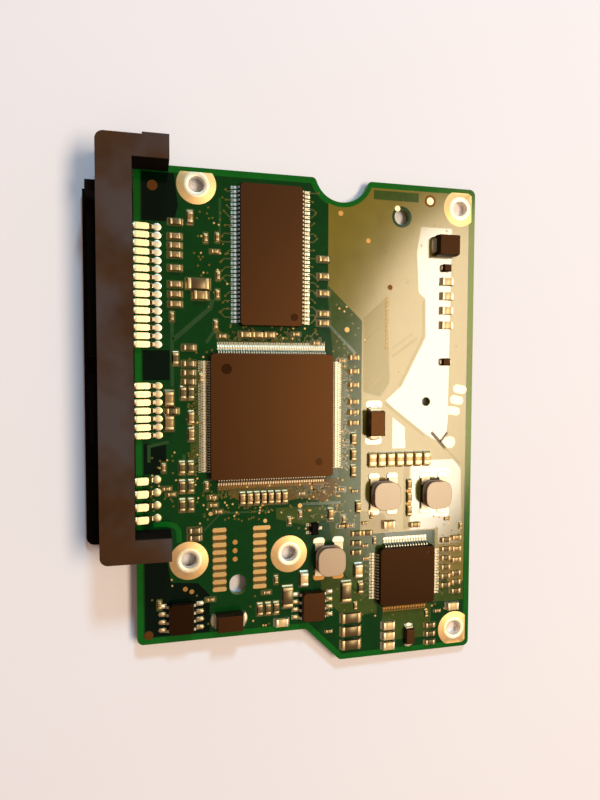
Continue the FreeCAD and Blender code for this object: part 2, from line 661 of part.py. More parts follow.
def save_main_controller():
    """Main controller and its four rows of leads."""
    mark = CONTROLLER_SIZE / 2 - CONTROLLER_DIMPLE_INSET
    body = dimpled(square_package(CONTROLLER_SIZE), CONTROLLER_DIMPLE, -mark, mark, PACKAGE_TOP)
    lead = sloping_lead(LEAD_ROOT, LEAD_FOOT, LEAD_REACH, CONTROLLER_LEAD_WIDTH)
    leads = lead_rows(lead, CONTROLLER_SIZE / 2, CONTROLLER_LEADS, CONTROLLER_PITCH, (0, 90, 180, 270))
    save("main_controller", move_all([body], CONTROLLER_X, CONTROLLER_Y))
    save("main_controller_leads", move_all(leads, CONTROLLER_X, CONTROLLER_Y))


def save_memory_chip():
    """Memory chip with leads on its two long sides."""
    top = PACKAGE_STANDOFF + MEMORY_HEIGHT
    root = MEMORY_LEAD_ROOT
    band_top = root + lead_band(root, MEMORY_LEAD_REACH - MEMORY_LEAD_FOOT)
    body = moulded_body(MEMORY_WIDTH, MEMORY_LENGTH, PACKAGE_STANDOFF, top, root, band_top)
    mark_x = MEMORY_WIDTH / 2 - MEMORY_DIMPLE_INSET
    mark_y = MEMORY_DIMPLE_INSET - MEMORY_LENGTH / 2
    body = dimpled(body, MEMORY_DIMPLE, mark_x, mark_y, top)
    lead = sloping_lead(root, MEMORY_LEAD_FOOT, MEMORY_LEAD_REACH, MEMORY_LEAD_WIDTH)
    leads = lead_rows(lead, MEMORY_WIDTH / 2, MEMORY_LEADS, MEMORY_PITCH, (0, 180))
    save("memory_chip", move_all([body], MEMORY_X, MEMORY_Y))
    save("memory_chip_leads", move_all(leads, MEMORY_X, MEMORY_Y))


def save_motor_driver():
    """Motor driver and its four rows of leads."""
    mark = DRIVER_SIZE / 2 - DRIVER_DIMPLE_INSET
    body = dimpled(square_package(DRIVER_SIZE), DRIVER_DIMPLE, mark, mark, PACKAGE_TOP)
    lead = sloping_lead(LEAD_ROOT, LEAD_FOOT, LEAD_REACH, DRIVER_LEAD_WIDTH)
    leads = lead_rows(lead, DRIVER_SIZE / 2, DRIVER_LEADS, DRIVER_PITCH, (0, 90, 180, 270))
    save("motor_driver", move_all([body], DRIVER_X, DRIVER_Y))
    save("motor_driver_leads", move_all(leads, DRIVER_X, DRIVER_Y))


def save_small_package(node, x, y):
    """Package with four leads on each of two sides."""
    band_top = LEAD_ROOT + LEAD_THICKNESS
    body = moulded_body(
        SMALL_PACKAGE_WIDTH, SMALL_PACKAGE_LENGTH, PACKAGE_STANDOFF, PACKAGE_TOP, LEAD_ROOT, band_top,
    )
    lead = gull_wing(
        LEAD_ROOT, LEAD_THICKNESS, SMALL_PACKAGE_LEAD_SHOULDER, SMALL_PACKAGE_LEAD_REACH - LEAD_FOOT,
        SMALL_PACKAGE_LEAD_REACH, SMALL_PACKAGE_LEAD_WIDTH,
    )
    leads = lead_rows(lead, SMALL_PACKAGE_WIDTH / 2, SMALL_PACKAGE_LEADS, SMALL_PACKAGE_PITCH, (0, 180))
    save(node, move_all([body], x, y))
    save(node + "_leads", move_all(leads, x, y))


def diode(size):
    """Moulded diode along x: its body and its two folded terminals."""
    length, width, height, terminal_width, foot = size
    band_high = height / 2
    body = moulded_body(
        length, width, TERMINAL_THICKNESS, height, TERMINAL_THICKNESS + PACKAGE_DRAFT, band_high, 0,
    )
    profile = [
        (-foot, 0),
        (TERMINAL_THICKNESS, 0),
        (TERMINAL_THICKNESS, band_high),
        (0, band_high),
        (0, TERMINAL_THICKNESS),
        (-foot, TERMINAL_THICKNESS),
    ]
    terminal = placed(strip(profile, terminal_width), length / 2, 0)
    return [body], [terminal, placed(terminal, 0, 0, 180)]


def save_diodes(node, size, places):
    """Like diodes at several places, each given as x, y and angle."""
    bodies, terminals = diode(size)
    save(node, [one for place in places for one in move_all(bodies, *place)])
    save(node + "_terminals", [one for place in places for one in move_all(terminals, *place)])


def save_transistor():
    """Small transistor with two leads on its left side and one on its right."""
    top = PACKAGE_STANDOFF + TRANSISTOR_HEIGHT
    root = PACKAGE_STANDOFF + (TRANSISTOR_HEIGHT - LEAD_THICKNESS) / 2
    body = moulded_body(
        TRANSISTOR_WIDTH, TRANSISTOR_LENGTH, PACKAGE_STANDOFF, top, root, root + LEAD_THICKNESS, 0,
    )
    foot = TRANSISTOR_LEAD_REACH / 2
    shoulder = TRANSISTOR_LEAD_REACH / 8
    lead = gull_wing(root, LEAD_THICKNESS, shoulder, foot, TRANSISTOR_LEAD_REACH, TRANSISTOR_LEAD_WIDTH)
    pair = lead_rows(lead, TRANSISTOR_WIDTH / 2, 2, TRANSISTOR_LEAD_SPACING, (180,))
    single = lead_rows(lead, TRANSISTOR_WIDTH / 2, 1, 0, (0,))
    save("small_transistor", move_all([body], TRANSISTOR_X, TRANSISTOR_Y))
    save("small_transistor_leads", move_all(pair + single, TRANSISTOR_X, TRANSISTOR_Y))


def inductor_flange(z0, z1):
    """Eight-sided plate of a drum core."""
    outline = cut_rectangle(INDUCTOR_FLANGE, INDUCTOR_FLANGE, 0, INDUCTOR_FLANGE_CORNER, z0)
    return Part.Face(outline).extrude(V(0, 0, z1 - z0))


def inductor():
    """Drum core, its winding, its base and the four corner clips, about the base's middle."""
    half = INDUCTOR_BASE / 2
    core_bottom = INDUCTOR_BASE_THICKNESS
    lower_flange_top = core_bottom + INDUCTOR_FLANGE_THICKNESS
    upper_flange_bottom = INDUCTOR_HEIGHT - INDUCTOR_FLANGE_THICKNESS
    hub_half = INDUCTOR_HUB_WIDTH / 2
    hub = box(-hub_half, hub_half, -hub_half, hub_half, lower_flange_top, upper_flange_bottom)
    lower_flange = inductor_flange(core_bottom, lower_flange_top)
    upper_flange = inductor_flange(upper_flange_bottom, INDUCTOR_HEIGHT)
    core = lower_flange.fuse([hub, upper_flange])
    winding_diameter = INDUCTOR_FLANGE - 2 * INDUCTOR_WINDING_RECESS
    winding = disc(winding_diameter, 0, 0, lower_flange_top, upper_flange_bottom).cut(hub)
    clip = box(
        half - INDUCTOR_CLIP_LENGTH, half,
        half - INDUCTOR_CLIP_WIDTH, half + INDUCTOR_CLIP_PROUD,
        0, INDUCTOR_BASE_THICKNESS,
    )
    mirrored = clip.mirror(V(0, 0, 0), V(1, 0, 0))
    clips = [clip, mirrored, placed(clip, 0, 0, 180), placed(mirrored, 0, 0, 180)]
    base = box(-half, half, -half, half, 0, INDUCTOR_BASE_THICKNESS).cut(clips)
    return {
        "inductor_cores": [core],
        "inductor_windings": [winding],
        "inductor_bases": [base],
        "inductor_terminals": clips,
    }


def save_inductors():
    """The three inductors, one node for each kind of piece."""
    for node, solids in inductor().items():
        save(node, [one for x, y in INDUCTOR_PLACES for one in move_all(solids, x, y)])


def row_places(rows):
    """Every x, y and angle of parts that lie in rows."""
    places = []
    for x, y, step_x, step_y, count, angle in rows:
        places += [(x + number * step_x, y + number * step_y, angle) for number in range(count)]
    return places


def save_small_chips(node, rows):
    """The smallest chip parts, each one fired piece with its ends plated on."""
    length, width, height = SMALL_CHIP
    chip = box(-length / 2, length / 2, -width / 2, width / 2, 0, height)
    save(node, [placed(chip, *place) for place in row_places(rows)])


def save_chips(node, size, rows):
    """Chip parts: ceramic bodies in one node and their end caps in another."""
    length, width, height, cap = size
    middle = length / 2 - cap
    body = box(-middle, middle, -width / 2, width / 2, 0, height)
    caps = [
        box(middle, length / 2, -width / 2, width / 2, 0, height),
        box(-length / 2, -middle, -width / 2, width / 2, 0, height),
    ]
    places = row_places(rows)
    save(node, [placed(body, *place) for place in places])
    save(node + "_terminals", [one for place in places for one in move_all(caps, *place)])


def main():
    os.makedirs("parts", exist_ok=True)
    save("circuit_board", [circuit_board()])
    save("screw_pads", screw_pads())
    save("head_contact_pads", head_contact_pads())
    save("motor_contact_pads", motor_contact_pads())
    save("connector_housing", [connector_housing()])
    save("power_contacts", blade_contacts(FIRST_CONTACT_Y, POWER_COUNT))
    save("signal_contacts", blade_contacts(FIRST_SIGNAL_Y, SIGNAL_COUNT))
    save("jumper_pins", jumper_pins())
    save_main_controller()
    save_memory_chip()
    save_motor_driver()
    save_small_package("settings_memory", SETTINGS_MEMORY_X, SETTINGS_MEMORY_Y)
    save_small_package("power_switch", POWER_SWITCH_X, POWER_SWITCH_Y)
    rectifiers = [
        (LOWER_RECTIFIER_X, LOWER_RECTIFIER_Y, 0),
        (UPPER_RECTIFIER_X, UPPER_RECTIFIER_Y, 90),
    ]
    save_diodes("rectifier_diodes", RECTIFIER_SIZE, rectifiers)
    save_diodes("surge_suppressor", SUPPRESSOR_SIZE, [(BOARD_WIDTH - SUPPRESSOR_INSET, SUPPRESSOR_Y, 0)])
    save_diodes("small_diode", SMALL_DIODE_SIZE, [(SMALL_DIODE_X, SMALL_DIODE_Y, 90)])
    zener_x = BOARD_WIDTH - ZENER_INSET
    save_diodes("zener_diodes", ZENER_SIZE, [(zener_x, UPPER_ZENER_Y, 0), (zener_x, LOWER_ZENER_Y, 0)])
    save_transistor()
    save_inductors()
    save_chips("bulk_capacitors", LARGE_CHIP, BULK_CAPACITOR_ROWS)
    save_chips("row_capacitors", MEDIUM_CHIP, ROW_CAPACITOR_ROWS)
    save_chips("large_capacitors", MEDIUM_CHIP, LARGE_CAPACITOR_ROWS)
    save_small_chips("small_capacitors", SMALL_CAPACITOR_ROWS)
    save_small_chips("small_resistors", SMALL_RESISTOR_ROWS)


main()
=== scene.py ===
import math
import random

import bmesh
import bpy
from bpy.props import FloatProperty, FloatVectorProperty, PointerProperty
from mathutils import Matrix, Quaternion, Vector


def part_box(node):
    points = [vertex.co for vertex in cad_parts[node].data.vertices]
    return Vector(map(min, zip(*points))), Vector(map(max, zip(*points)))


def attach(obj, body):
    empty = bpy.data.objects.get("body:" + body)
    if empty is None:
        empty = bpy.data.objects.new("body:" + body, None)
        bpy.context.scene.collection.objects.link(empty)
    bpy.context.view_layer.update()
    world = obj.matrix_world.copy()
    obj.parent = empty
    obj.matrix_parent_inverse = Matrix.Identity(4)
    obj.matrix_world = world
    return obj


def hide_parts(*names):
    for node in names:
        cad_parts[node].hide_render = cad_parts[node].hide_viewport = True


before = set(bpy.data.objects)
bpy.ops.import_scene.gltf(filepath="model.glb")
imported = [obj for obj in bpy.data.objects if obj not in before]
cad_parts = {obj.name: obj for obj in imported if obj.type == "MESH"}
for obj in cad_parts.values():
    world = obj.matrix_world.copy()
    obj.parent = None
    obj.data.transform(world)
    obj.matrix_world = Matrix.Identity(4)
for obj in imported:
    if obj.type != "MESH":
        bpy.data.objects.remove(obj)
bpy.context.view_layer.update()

bl_info = {
    "name": "Hard drive circuit board",
    "version": (1, 0, 0),
    "blender": (4, 5, 0),
    "location": "3D View > Sidebar > Circuit board",
    "description": "Gives a hard drive's circuit board its copper, solder, leads, chips and finishes",
    "category": "Object",
}

# Places are in board millimetres: x from the left edge, y from the lowest edge, z from the component face.
MM = 0.001
BOARD_LOW, BOARD_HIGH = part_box("circuit_board")
TO_PART = Matrix.Translation((BOARD_LOW.x, BOARD_LOW.y, BOARD_HIGH.z)) @ Matrix.Scale(MM, 4)
TO_BOARD = TO_PART.inverted()
BOARD_WIDTH = (BOARD_HIGH.x - BOARD_LOW.x) / MM
BOARD_LENGTH = (BOARD_HIGH.y - BOARD_LOW.y) / MM
BOARD_THICKNESS = (BOARD_HIGH.z - BOARD_LOW.z) / MM
STEP_HEIGHT = 5.85
STEP_START = 27.1
NOTCH_CENTRE = (32.95, 80.75)
NOTCH_RADIUS = 4.6
SCREW_HOLES = [(9.4, 77.3), (54.1, 76.55), (54.1, 3.3), (8.0, 18.7), (24.15, 18.7)]
SCREW_HOLE_RADIUS = 1.25
# Plain holes, with their radius: two round ones, the lower and upper end of the oval one, and the peg's
PLAIN_HOLES = [(43.4, 74.45, 1.3), (48.2, 43.5, 0.7), (15.75, 13.95, 1.35), (15.75, 14.55, 1.35), (2.6, 22.275, 0.8)]
# Heights of the layers above the board's face: each stands a little over the one it lies on
HEIGHTS = {
    "ground": 0.02, "thin": 0.025, "fan": 0.028, "deep": 0.03, "pour": 0.03, "hatch": 0.032, "shine": 0.034,
    "broad": 0.034, "land": 0.035, "arc": 0.036, "gap": 0.038, "trace": 0.04, "dark gap": 0.042, "via": 0.05,
}
SMOOTH_UP_TO = math.radians(38)     # faces that meet at less than this look like one round surface
SOFTEN_FROM = math.radians(35)      # CAD edges sharper than this are rounded
SAME_PLACE = 1e-7                   # CAD points nearer than this, in metres, are one point
UP, LEFT, DOWN = (0, 1), (-1, 0), (0, -1)


def linear(code):
    """Linear colour of an sRGB hex value."""
    channels = [int(code[start:start + 2], 16) / 255 for start in (1, 3, 5)]
    return [c / 12.92 if c <= 0.04045 else ((c + 0.055) / 1.055) ** 2.4 for c in channels]


def colour(name, description, code):
    """Colour that a user can change."""
    return FloatVectorProperty(
        name=name, description=description, subtype="COLOR", min=0, max=1, default=linear(code),
    )


def size(name, description, millimetres):
    """Length that a user can change."""
    return FloatProperty(
        name=name, description=description, unit="LENGTH", min=0, precision=5, default=millimetres * MM,
    )


class BoardColours(bpy.types.PropertyGroup):
    """Colours of the board's materials."""
    laminate: colour("Bare laminate", "Solder mask with no copper under it", "#0c5f1a")
    laminate_edge: colour("Cut edge", "Glass-epoxy where the board was routed", "#5f6a28")
    ground: colour("Ground copper", "Solder mask over the wide copper areas", "#03370c")
    deep: colour("Solid copper", "Solder mask where copper lies in every layer", "#011206")
    pour: colour("Power copper", "Solder mask over the thick copper of the power side", "#7a671a")
    thin: colour("Thin copper", "Solder mask over the finely divided copper of the middle and the corner", "#404f1b")
    trace: colour("Traces", "Solder mask over narrow tracks", "#4d4f20")
    broad: colour("Broad tracks", "Solder mask over broad tracks", "#23471c")
    fan: colour("Close tracks", "Solder mask over tracks that lie close together", "#6b5024")
    gap: colour("Copper gaps", "Mask over the gaps between copper areas", "#6a5a20")
    gold: colour("Pad plating", "Thin gold on bare pads", "#caa466")
    ring: colour("Ring plating", "Gold round the screw holes, rubbed bright by the screw heads", "#eec485")
    copper: colour("Bare copper", "Dots that aim the assembly machine", "#6e4420")
    tin: colour("Tin plating", "Leads and terminals", "#cbbd9f")
    chip_end: colour("Chip ends", "Plated ends of the chip parts", "#d6ba88")
    solder: colour("Solder", "Fillets round leads and terminals", "#f6e6c4")
    bore: colour("Bore plating", "Dull tin inside the screw holes", "#fdf3e6")
    # Brown solder is real flux stain and also painted shade. The grey solder is painted shade.
    flux: colour("Stained solder", "Solder with brown flux left on it, and brown solder painted as shade", "#b08246")
    dull: colour("Shaded solder", "Grey solder painted where leads face away from the warm lamp", "#b9c4c2")
    contact: colour("Contact plating", "Connector contacts and pins", "#edd5a2")
    # The bends' colour is painted shade.
    bend: colour("Contact bends", "Painted shade where the contacts bend", "#4a3018")
    housing: colour("Housing", "Moulded connector body", "#3f2510")
    dust: colour("Housing dust", "Grey dust on top of the connector body", "#4a403e")
    package: colour("Package", "Moulded chip bodies", "#1d0b04")
    # The dark package colour is painted shade.
    dense: colour("Dark package", "Moulded bodies of the smallest packages", "#120703")
    # The ferrite's tan is partly a painted reflection, and the sides' near black is partly painted shade.
    ferrite: colour("Ferrite", "Drum cores of the inductors", "#a98159")
    skin: colour("Ferrite skin", "Sides of the inductors' cores", "#140d09")
    # The wire's colour is partly painted shade.
    wire: colour("Winding wire", "Enamelled copper wire", "#3a1c0e")
    base: colour("Inductor base", "Moulded plates under the inductors", "#20160f")
    capacitor: colour("Capacitor ceramic", "Fired bodies of the small chip capacitors", "#8f6b3e")
    # The pale ceramic is partly a painted highlight.
    pale_ceramic: colour("Pale ceramic", "Fired bodies of the power side's chip capacitors", "#e8bb79")
    brown_ceramic: colour("Brown ceramic", "Fired bodies of the largest chip capacitors", "#4a341b")
    resistor: colour("Resistor glaze", "Glass over chip resistors", "#5e4c30")
    floor: colour("Floor", "Paper that the board lies on", "#faf1ef")


class BoardSizes(bpy.types.PropertyGroup):
    """Sizes of the details that Blender adds."""
    copper_inset: size("Copper inset", "Bare strip along the board's edge", 1.0)
    trace_width: size("Trace width", "Width of the narrow tracks", 0.2)
    via_radius: size("Via radius", "Radius of the plated through holes' rings", 0.2)
    moulding_edge: size("Moulding edge", "Rounding of the moulded edges", 0.1)
    solder_spread: size("Solder spread", "How far a fillet runs out past a small terminal", 0.35)


def add(tree, kind, inputs=None, **settings):
    """Add a node, set its values and link its inputs."""
    node = tree.nodes.new(kind)
    for name, value in settings.items():
        setattr(node, name, value)
    for name, value in (inputs or {}).items():
        if isinstance(value, bpy.types.NodeSocket):
            tree.links.new(value, node.inputs[name])
        else:
            node.inputs[name].default_value = value
    return node


def rgba(values, share=1.0):
    """Opaque colour, made lighter or darker by a share."""
    return (*[min(1.0, value * share) for value in values], 1.0)


def per_mm(millimetres):
    """Texture scale that gives a pattern of that size, for coordinates in metres."""
    return 1 / (millimetres * MM)


MIX, MATH, MAP, SPLIT = "ShaderNodeMix", "ShaderNodeMath", "ShaderNodeMapRange", "ShaderNodeSeparateXYZ"
LEVEL, TINT = "Specular IOR Level", "Specular Tint"
# What like finishes share on the shader: a sheen's tint, a high index or metal
THICK_MASK = {"IOR": 1.58, TINT: rgba(linear("#fff4de"))}
COMPOUND = {TINT: rgba(linear("#ffac65"))}
CERAMIC = {"IOR": 2.0, TINT: rgba(linear("#ffe2a8"))}
METAL = {"Metallic": 1.0}
RELIEF_DEPTH = 0.02     # millimetres, at full strength
# Each finish: short name, what it really is, its colour, grain in millimetres, darkest and lightest share of the
# colour, least and greatest roughness, strength of the relief, and what is set on the shader itself.
FINISH_TABLE = (
    # Solder mask on glass-epoxy: clear bright green with the glass cloth showing faintly, and a tan routed edge.
    ("laminate", "solder mask on glass-epoxy", "laminate", 2.5, (0.8, 1.15), (0.1, 0.15), 0.05,
     {LEVEL: 0.28, TINT: rgba(linear("#fff0b0"))}),
    # Solder mask over copper foil: deep green, glossy, with a slight orange peel.
    ("ground", "solder mask on copper foil", "ground", 1.6, (0.75, 1.35), (0.1, 0.15), 0.05, {LEVEL: 0.3}),
    # The same mask where copper lies in every layer: no light comes back through the board, so it is nearly black.
    ("deep", "solder mask on solid copper", "deep", 1.6, (0.7, 1.3), (0.1, 0.15), 0.05, {LEVEL: 0.2}),
    # The same mask over thick, bright copper: the metal below gives an olive-gold sheen.
    # Where the mask lies smooth on unbroken copper it shines most, and least where the copper is hatched.
    ("pour", "solder mask on thick copper", "pour", 3.0, (0.85, 1.12), (0.13, 0.17), 0.04,
     {**THICK_MASK, LEVEL: 0.47}),
    ("shine", "smooth solder mask on thick copper", "pour", 3.0, (0.85, 1.12), (0.13, 0.17), 0.04,
     {**THICK_MASK, LEVEL: 0.85, TINT: rgba(linear("#ffffff"))}),
    ("hatch", "solder mask on hatched copper", "pour", 3.0, (0.85, 1.12), (0.13, 0.17), 0.04,
     {**THICK_MASK, LEVEL: 0.34}),
    # The same mask over thin copper cut up by many tracks: mid green, its gloss broken by the tracks.
    ("thin", "solder mask on thin copper", "thin", 1.2, (0.7, 1.3), (0.12, 0.17), 0.05, {LEVEL: 0.18}),
    # Mask that dips into the gap between two copper areas: the laminate below looks dull and brownish.
    ("gap", "solder mask over a copper gap", "gap", 1.0, (0.8, 1.2), (0.15, 0.22), 0.05,
     {LEVEL: 0.6, TINT: rgba(linear("#fff0d2"))}),
    # Mask over tracks: thinner on their raised edges, so the copper shows through, most of all on narrow ones.
    ("trace", "solder mask on tracks", "trace", 0.8, (0.8, 1.2), (0.15, 0.22), 0.05, {}),
    ("broad", "solder mask on broad tracks", "broad", 0.8, (0.8, 1.2), (0.15, 0.22), 0.05, {}),
    # Mask over tracks so close together that their copper shows as one uneven brownish field.
    ("fan", "solder mask on close tracks", "fan", 0.6, (0.6, 1.35), (0.15, 0.22), 0.1, {LEVEL: 0.15}),
    # Metals, each with its own colour and polish: plating, tinned lead frame, fused solder and spring contacts.
    # Solder that kept its flux looks brown. The same brown is also painted shade on lead rows that face away
    # from the lamps, and the grey solder is painted shade only.
    ("gold", "immersion gold on copper", "gold", 0.5, (0.88, 1.06), (0.48, 0.6), 0.2, METAL),
    ("ring", "rubbed gold on copper", "ring", 0.5, (0.88, 1.06), (0.45, 0.57), 0.2, METAL),
    ("copper", "bare copper", "copper", 0.5, (0.88, 1.06), (0.5, 0.62), 0.2, METAL),
    ("tin", "tin-plated lead frame", "tin", 0.3, (0.88, 1.06), (0.4, 0.54), 0.15, METAL),
    ("end", "tin over nickel", "chip_end", 0.3, (0.88, 1.06), (0.4, 0.54), 0.15, METAL),
    ("solder", "reflowed solder", "solder", 0.6, (0.88, 1.06), (0.42, 0.55), 0.3, METAL),
    ("flux", "flux-stained solder", "flux", 0.6, (0.88, 1.06), (0.42, 0.55), 0.3, METAL),
    ("dull", "dull grey solder", "dull", 0.6, (0.88, 1.06), (0.5, 0.62), 0.3, METAL),
    ("bore", "dull tin in a drilled bore", "bore", 0.4, (0.88, 1.06), (0.85, 0.95), 0.2, METAL),
    ("contact", "gold-flashed spring bronze", "contact", 0.7, (0.88, 1.06), (0.4, 0.5), 0.1, METAL),
    # The contacts' bends: a dull dark brown that is painted shade, where the tail drops to its foot.
    ("bend", "bare spring bronze", "bend", 0.3, (0.8, 1.15), (0.5, 0.62), 0.2, METAL),
    # Glass-filled polyester moulding: matt and brownish, its top rubbed in patches some 6 mm across and dusted grey.
    ("housing", "glass-filled polyester moulding", "housing", 6.0, (0.55, 1.5), (0.5, 0.66), 0.3,
     {LEVEL: 0.2, TINT: rgba(linear("#ffe4cc"))}),
    # Epoxy moulding compound: nearly black, with a broad warm sheen from the mould's spark-eroded face.
    # Its 0.05 mm grain is drawn at 0.25 mm so that it shows.
    ("package", "epoxy moulding compound", "package", 0.25, (0.8, 1.2), (0.39, 0.47), 0.2, {**COMPOUND, LEVEL: 0.6}),
    # The small packages and the motor driver: the same compound drawn darker, with a weaker sheen, as painted shade
    # where the lamp's sheen falls off.
    ("dense", "sooty epoxy compound", "dense", 0.25, (0.8, 1.2), (0.38, 0.46), 0.2, {**COMPOUND, LEVEL: 0.28}),
    # The transistor takes the same darkened colour, which is painted shade too, but it is left matt, so it shows no
    # sheen.
    ("soot", "matt sooty epoxy compound", "dense", 0.25, (0.8, 1.2), (0.6, 0.7), 0.2, {LEVEL: 0.06}),
    # Mould marks: the same compound pressed smooth by an ejector pin, so they look darker.
    ("mark", "epoxy compound pressed smooth", "package", 0.5, (0.8, 1.1), (0.3, 0.36), 0.05,
     {**COMPOUND, LEVEL: 0.25}),
    # Phenolic moulding: dull and dark, under the inductors.
    ("base", "phenolic moulding", "base", 0.3, (0.85, 1.12), (0.5, 0.65), 0.2, {}),
    # Fired ceramics: sugary ferrite, dense capacitor bodies in tan, cream and brown, and the resistors' glass glaze.
    # All but the glaze bend light strongly, so their flat tops shine where the lamp is mirrored. The ferrite's pale
    # tan is partly a painted reflection of the lamp, and the cream bodies are partly a painted highlight.
    ("ferrite", "fired ferrite", "ferrite", 0.35, (0.85, 1.12), (0.32, 0.42), 0.2,
     {**CERAMIC, TINT: rgba(linear("#fff6e2"))}),
    ("capacitor", "barium titanate ceramic", "capacitor", 0.25, (0.85, 1.12), (0.28, 0.38), 0.12, CERAMIC),
    ("pale", "calcium zirconate ceramic", "pale_ceramic", 0.25, (0.85, 1.12), (0.28, 0.38), 0.12, CERAMIC),
    ("brown", "doped barium titanate ceramic", "brown_ceramic", 0.25, (0.85, 1.12), (0.28, 0.38), 0.12, CERAMIC),
    ("resistor", "brown glass glaze on alumina", "resistor", 0.4, (0.85, 1.12), (0.3, 0.42), 0.08,
     {**CERAMIC, "IOR": 1.52}),
    # The cores' sides: dull and nearly black, partly the ferrite's own colour and partly painted shade, where their
    # flat tops are pale.
    ("skin", "fired ferrite skin", "skin", 0.35, (0.8, 1.2), (0.6, 0.72), 0.2, {LEVEL: 0.15}),
    # Enamelled wire: copper seen through a clear brown lacquer, drawn darker still as painted shade.
    ("wire", "enamelled copper wire", "wire", 0.4, (0.8, 1.2), (0.25, 0.4), 0.05, {"Metallic": 0.7}),
    # Uncoated paper: matt and almost white.
    ("floor", "uncoated paper", "floor", 30, (0.985, 1.0), (0.8, 0.9), 0.02, {LEVEL: 0.1}),
)
FINISHES = {}


def mottled(name, values, grain, shares, rough, strength, settings):
    """Material with a colour between two shades, uneven gloss and a fine relief, all from one grain size."""
    material = bpy.data.materials.new(name)
    material.use_nodes = True
    tree = material.node_tree
    tree.nodes.clear()
    place = add(tree, "ShaderNodeTexCoord").outputs["Object"]
    noise = add(tree, "ShaderNodeTexNoise", {"Vector": place, "Scale": per_mm(grain), "Detail": 4.0}).outputs[0]
    dark, light = [rgba(values, share) for share in shares]
    shade = add(tree, MIX, {0: noise, 6: dark, 7: light}, data_type="RGBA").outputs[2]
    gloss = add(tree, MAP, {0: noise, 3: rough[0], 4: rough[1]}).outputs[0]
    relief = add(tree, "ShaderNodeBump", {"Height": noise, "Strength": strength, "Distance": RELIEF_DEPTH * MM})
    looks = {"Base Color": shade, "Roughness": gloss, "Normal": relief.outputs[0], **settings}
    shader = add(tree, "ShaderNodeBsdfPrincipled", looks)
    add(tree, "ShaderNodeOutputMaterial", {"Surface": shader.outputs[0]})
    return material, shader, place, shade


def weave_cloth(colours, shader, place, shade):
    """Show the glass cloth in the mask's colour, bare laminate on the routed edge and copper on the underside."""
    tree = shader.id_data
    # The cloth's 0.5 mm weave is drawn at 0.9 mm so that it shows. At scale 1 a wave repeats every 0.314 of its unit.
    cloth = 0.314 * per_mm(0.9)
    across, along = [
        add(tree, "ShaderNodeTexWave", {"Vector": place, "Scale": cloth}, bands_direction=axis).outputs[1]
        for axis in "XY"
    ]
    weave = add(tree, MATH, {0: across, 1: along}, operation="MULTIPLY").outputs[0]
    faint = add(tree, MATH, {0: weave, 1: 0.25}, operation="MULTIPLY").outputs[0]
    clothed = add(tree, MIX, {0: faint, 6: shade, 7: rgba(colours.laminate, 0.6)}, data_type="RGBA").outputs[2]
    normal = add(tree, "ShaderNodeNewGeometry").outputs["Normal"]
    upward = add(tree, SPLIT, {0: normal}).outputs[2]
    level = add(tree, MATH, {0: upward}, operation="ABSOLUTE").outputs[0]
    is_flat = add(tree, MATH, {0: level, 1: 0.5}, operation="GREATER_THAN").outputs[0]
    is_under = add(tree, MATH, {0: upward, 1: -0.5}, operation="LESS_THAN").outputs[0]
    faces = add(tree, MIX, {0: is_under, 6: clothed, 7: rgba(colours.ground, 1.6)}, data_type="RGBA").outputs[2]
    tone = add(tree, MIX, {0: is_flat, 6: rgba(colours.laminate_edge), 7: faces}, data_type="RGBA").outputs[2]
    tree.links.new(tone, shader.inputs["Base Color"])


def lay_dust_and_wall_shade(colours, shader, place, shade):
    """Dust the housing's top in patches some 11 mm across. Half a millimetre down, its walls are painted near black as
    shade, and made rough.
    """
    tree = shader.id_data
    noise = add(tree, "ShaderNodeTexNoise", {"Vector": place, "Scale": per_mm(11), "Detail": 3.0}).outputs[0]
    film = add(tree, MAP, {0: noise, 1: 0.42, 2: 0.62, 4: 0.85}).outputs[0]
    dusted = add(tree, MIX, {0: film, 6: shade, 7: rgba(colours.dust)}, data_type="RGBA").outputs[2]
    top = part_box("connector_housing")[1].z
    height = add(tree, SPLIT, {0: place}).outputs[2]
    is_unshaded_top = add(tree, MAP, {0: height, 1: top - 0.5 * MM, 2: top - 0.1 * MM}).outputs[0]
    # Painted shade: below the top the housing's colour falls to six hundredths, so the walls look black.
    tone = add(tree, MIX, {0: is_unshaded_top, 6: rgba(colours.housing, 0.06), 7: dusted}, data_type="RGBA").outputs[2]
    worn = shader.inputs["Roughness"].links[0].from_socket
    gloss = add(tree, MAP, {0: is_unshaded_top, 3: 0.95, 4: worn}).outputs[0]
    tree.links.new(tone, shader.inputs["Base Color"])
    tree.links.new(gloss, shader.inputs["Roughness"])


def make_materials(colours):
    """Every finish of the board, by its short name."""
    made = {}
    for key, name, tone, *looks in FINISH_TABLE:
        made[key], *nodes = mottled(name, getattr(colours, tone), *looks)
        if key == "laminate":
            weave_cloth(colours, *nodes)
        elif key == "housing":
            lay_dust_and_wall_shade(colours, *nodes)
    return made


def piece(name, bm, keys, slot, *nodes):
    """Turn a mesh in board millimetres into a piece that rides on the board."""
    bmesh.ops.recalc_face_normals(bm, faces=bm.faces)
    bm.transform(TO_PART)
    for face in bm.faces:
        face.smooth = True
    mesh = bpy.data.meshes.new(name)
    bm.to_mesh(mesh)
    bm.free()
    mesh.set_sharp_from_angle(angle=SMOOTH_UP_TO)
    for key in keys:
        mesh.materials.append(FINISHES[key])
    obj = bpy.data.objects.new(name, mesh)
    bpy.context.scene.collection.objects.link(obj)
    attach(obj, "root")
    if nodes:
        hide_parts(*nodes)


def dress(node, key, edge=0.0):
    """Give a CAD node its finish, and round its edges by that many metres."""
    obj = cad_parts[node]
    obj.data.materials.clear()
    obj.data.materials.append(FINISHES[key])
    if edge > 0:
        weld = obj.modifiers.new("weld", "WELD")
        weld.merge_threshold = SAME_PLACE
        bevel = obj.modifiers.new("soft edges", "BEVEL")
        bevel.width = edge
        bevel.segments = 2
        bevel.limit_method = "ANGLE"
        bevel.angle_limit = SOFTEN_FROM
        bevel.harden_normals = True


